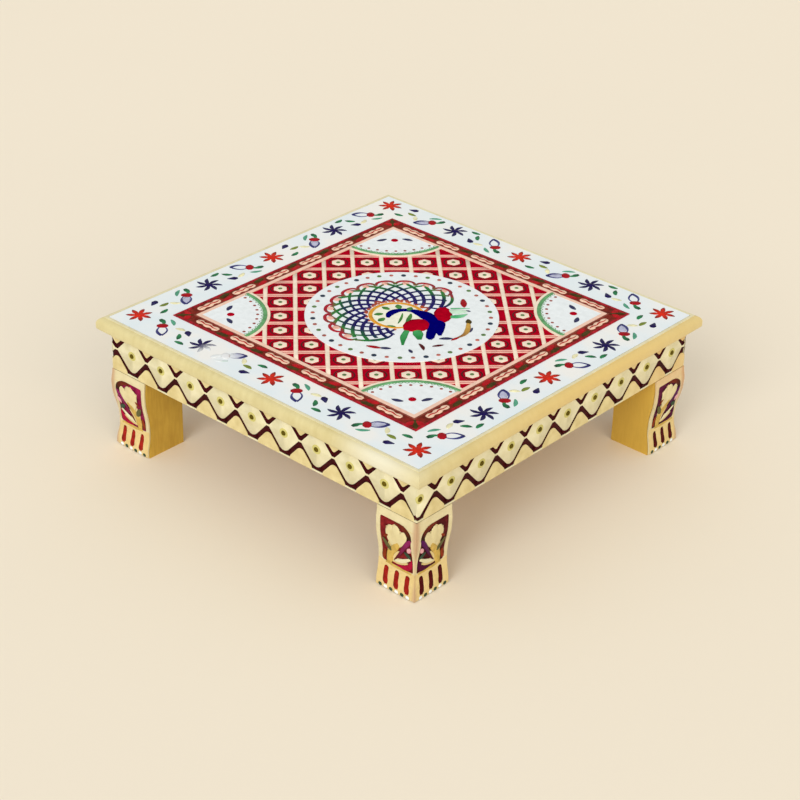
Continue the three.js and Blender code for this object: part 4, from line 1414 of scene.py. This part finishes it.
# %% Lacquers of the leg: the gold is warmer at the top of the right leg, and tan at the folds
leg_cream = lacquer("leg_cream_gold_lacquer", "#D0C498", "#DDD2A8", rubbed="#C0A07C",
                    patches=((150, 128, 75, "#D8903C"),))
leg_gold = lacquer("leg_deep_gold_lacquer", "#D3BA78", "#E0C98E", rubbed="#C0A07C")
# The darker panel and toe lacquers are painted shade for the side faces, not colours of their
# own.
panel_red = enamel("panel_crimson_lacquer", "#7E1F22", mottle=0.25)
panel_red_shaded = enamel("panel_crimson_lacquer_painted_shade", "#57171B", mottle=0.25)
panel_raspberry = enamel("panel_raspberry_lacquer", "#8A1844", mottle=0.25)
panel_raspberry_shaded = enamel("panel_plum_lacquer", "#561636", mottle=0.25)
toe_red = enamel("toe_red_lacquer", "#97211A", mottle=0.2)
toe_red_shaded = enamel("toe_red_lacquer_painted_shade", "#4C0E10", mottle=0.2)
print("lacquers mixed:", len([m for m in bpy.data.materials if "lacquer" in m.name]))

# %% Plates with filled panels
PANEL_FOOT, PANEL_TOP = 19.0, 55
PANEL_INNER, PANEL_OUTER = 115, 141
RELIEF, SUNK, UNDERSIDE = -0.25, -0.35, -0.9
MITRE_DRAW = 0.2

PLATES = [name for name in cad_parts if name.startswith("leg_plate")]
for node in PLATES:
    # Faces that look to the sides get the darker copies: painted shade.
    bright = node.endswith(("front", "back"))
    panel, toe = (panel_red, toe_red) if bright else (panel_red_shaded, toe_red_shaded)
    if "front_left" in node or "back_right" in node:
        panel = panel_raspberry if bright else panel_raspberry_shaded
    piece = welded(node, f"embossed_{node}", (leg_cream, panel, toe, leg_gold))
    axis = 1 if bright else 0
    proud = lambda m: abs(m[axis]) - APRON_FACE - swell(m.z)
    sunk = lambda m, n: UNDERSIDE < proud(m) < SUNK and abs(n[axis]) > 0.8
    field = lambda m: m.z < PANEL_TOP and PANEL_INNER < abs(m[1 - axis]) < PANEL_OUTER
    assign(3, lambda m, n: proud(m) > RELIEF and (m.z < PANEL_FOOT or field(m)))
    assign(1, lambda m, n: sunk(m, n) and m.z > PANEL_FOOT)
    assign(2, lambda m, n: sunk(m, n) and m.z < PANEL_FOOT)
    middle = sum(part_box(node), Vector()) / 2
    towards = [math.copysign(MITRE_DRAW * MM, c) for c in middle[:2]]
    towards[axis] *= -1
    pick("FACE", lambda m, n: abs(abs(n.x) - abs(n.y)) < 0.2
         and min(abs(m.x), abs(m.y)) > PANEL_OUTER)
    bpy.ops.transform.translate(value=(*towards, 0))
    finish_piece(piece, piece.name, "embossed_metal")
    take(piece)
    bpy.ops.object.shade_smooth_by_angle(angle=math.radians(30))
    bpy.ops.object.modifier_add(type="WEIGHTED_NORMAL")
    piece.modifiers[0].keep_sharp = True
    bpy.ops.object.modifier_apply(modifier=piece.modifiers[0].name)
    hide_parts(node)
print("plates:", len(PLATES))

# %% [markdown]
# ## Painted tulips on the legs
# On each panel a tulip is painted over the embossing: three pale petals that nearly fill it, a
# gold sepal, leaves in green, olive and pink, and a dark arc above. The strokes are drawn flat,
# with x across the face from the leg's inner edge and y for height. Each point is then moved
# out as far as the face swells at its height. The neighbouring face gets the mirror image.

# %% Laying strokes on the legs
LEG_INNER = 111.0


def lay_on_legs(name, drawn, flatness, paints, mirrored, lift=0.0):
    """Strokes, drawn flat, set on one face of all legs: front and back bright, sides in painted
    shade.
    """
    flat = brush(drawn, flatness, lift, steps=5)
    for vertex in flat.data.vertices:
        across, height, rise = vertex.co / MM
        out = APRON_FACE + swell(height) + rise
        inward = LEG_INNER + across
        vertex.co = Vector((out, -inward, height) if mirrored else (inward, -out, height)) * MM
    take(flat)
    bpy.ops.object.mode_set(mode="EDIT")
    face_outwards()
    let_go()
    legs = [turned(flat, turns) for turns in range(4)]
    bpy.data.objects.remove(flat)
    for turns, leg in enumerate(legs):
        leg.data.materials.append(paints[(turns + mirrored) % 2])
    finish_piece(joined(legs), name, "embossed_metal")


print("strokes start", LEG_INNER, "mm from the middle")

# %% The enamels of the legs
petal_gold = lacquer("petal_gold_lacquer", "#D0C290", "#DFD3A4")
sepal_gold = enamel("sepal_gold_enamel", "#CAAA58", mottle=0.12)
soot = enamel("soot_brown_enamel", "#6E2A1C", tip="#241A10", mottle=0.15)
magenta = enamel("magenta_enamel", "#86245A", tip="#5A1C14", mottle=0.12)
# The next enamel is magenta made darker for the side faces: painted shade.
magenta_shaded = enamel("violet_enamel", "#561A54", tip="#4A1420", mottle=0.12)
rose = enamel("rose_enamel", "#DDA3AA", mottle=0.1)
bottle_green = enamel("bottle_green_enamel", "#3A4E3C", mottle=0.15)
cherry = enamel("cherry_enamel", "#A31336", mottle=0.12)
# The next enamel is cherry made darker for the side faces: painted shade.
cherry_shaded = enamel("grape_enamel", "#4A0A30", mottle=0.1)
moss = enamel("moss_enamel", "#62603A", mottle=0.15)
rust = enamel("rust_enamel", "#85341A", mottle=0.15)
print("enamels mixed:", len([m for m in bpy.data.materials if "enamel" in m.name]))

# %% The tulip and what surrounds it: name, bright paint, paint of the sides in painted shade, thickness, lift, strokes
def foot_dots(places):
    """Short fat strokes just above the foot."""
    return [([(u + step, 1.8) for step in (-1.6, -0.8, 0.8, 1.6)], [0.8, 2.5, 2.5, 0.8])
            for u in places]


def slot_stroke(u):
    """One long stroke that fills a toe slot, from its top to its foot."""
    return ([(u, 16), (u + 0.2, 13.6), (u + 0.8, 9), (u + 1.4, 5.2), (u + 1.6, 3.8)],
            [3, 4.5, 4.6, 4.5, 3])


petals = [([(14.5, 35.5), (12.2, 41.5), (11.8, 46.5), (13.2, 50.4), (14.2, 52)],
           [4, 5.6, 6.4, 4.8, 1.6]),
          ([(16, 36), (17, 42), (17.6, 48), (17.8, 52), (17.9, 53.4)], [5, 8, 8, 5.8, 1.8]),
          ([(17.6, 37), (20.6, 42), (23.4, 46.4), (24.6, 49.6), (25, 51)], [4, 7.4, 7.4, 5.4, 2])]
leg_paintings = [
    ("petals", petal_gold, petal_gold, 0.08, 0.0, petals),
    ("roots", sepal_gold, sepal_gold, 0.1, 0.05, [
        ([(21, 42.8), (18.2, 38.6), (14.8, 33.4), (12.6, 30)], [1.5, 5, 5.4, 4]),
        ([(13.4, 31.4), (11, 28), (10.4, 24.6), (9.8, 20.6)], [4, 5.8, 6, 4.4]),
        ([(7, 20), (15, 19.4), (24, 19.6), (29, 19.2)], [1.6, 2, 1.8, 1.2])]),
    ("pale_leaves", cream_lacquer, cream_lacquer, 0.1, 0.1, [
        ([(14.2, 23.8), (20.8, 26), (28.4, 30.8)], [1.6, 3.6, 1.8])]),
    ("arcs", soot, soot, 0.14, 0.0, [
        ([(16, 55), (20.6, 54.6), (25, 53.2), (28.2, 50.4), (29.8, 46.6)],
         [1.4, 2.4, 3.8, 4.4, 2.6])]),
    ("side_leaves", magenta, magenta_shaded, 0.12, 0.12, [
        ([(30.3, 47.4), (28.2, 44.4), (25.4, 40.8), (22, 35.4), (18.2, 29.6), (14.2, 24)],
         [1.6, 3.8, 3.2, 2.6, 1.9, 1])]),
    ("blossoms", rose, rose, 0.14, 0.18, [leaf((30, 40.8), (26.8, 36), 3.6)]),
    ("dark_leaves", bottle_green, bottle_green, 0.14, 0.15, [leaf((23.8, 35), (29.4, 31.4), 4)]),
    ("corners", cherry, cherry_shaded, 0.1, 0.05, [
        ([(29.2, 30.4), (28, 25.4), (24.6, 22.2), (16.4, 21.2)], [1.2, 4.2, 4.4, 1.2])]),
    ("olive_leaves", moss, moss, 0.12, 0.15, [leaf((5.8, 39), (12.8, 29.2), 4.2)]),
    ("bars", rust, rust, 0.16, 0.1, [
        ([(6.8, 29.6), (6, 27), (5.4, 24.5), (5.1, 22)], [1.6, 3.2, 3.4, 2.2]),
        leaf((11.6, 44.2), (6.6, 40.2), 2.2)]),
    ("toes", toe_red, toe_red_shaded, 0.1, -0.1, [slot_stroke(u) for u in (7.2, 16.4, 25.6)]),
    ("dark_dots", bottle_green, bottle_green, 0.12, 0.0, foot_dots((4.2, 13.6, 23.2))),
    ("white_dots", white_paint, white_paint, 0.12, 0.0, foot_dots((8.8, 18.4, 28))),
]
for name, bright, dark, flatness, lift, drawn in leg_paintings:
    for mirrored, face in enumerate("ab"):
        lay_on_legs(f"leg_{name}_{face}", drawn, flatness, (bright, dark), mirrored, lift)
print("leg paintings:", 2 * len(leg_paintings))
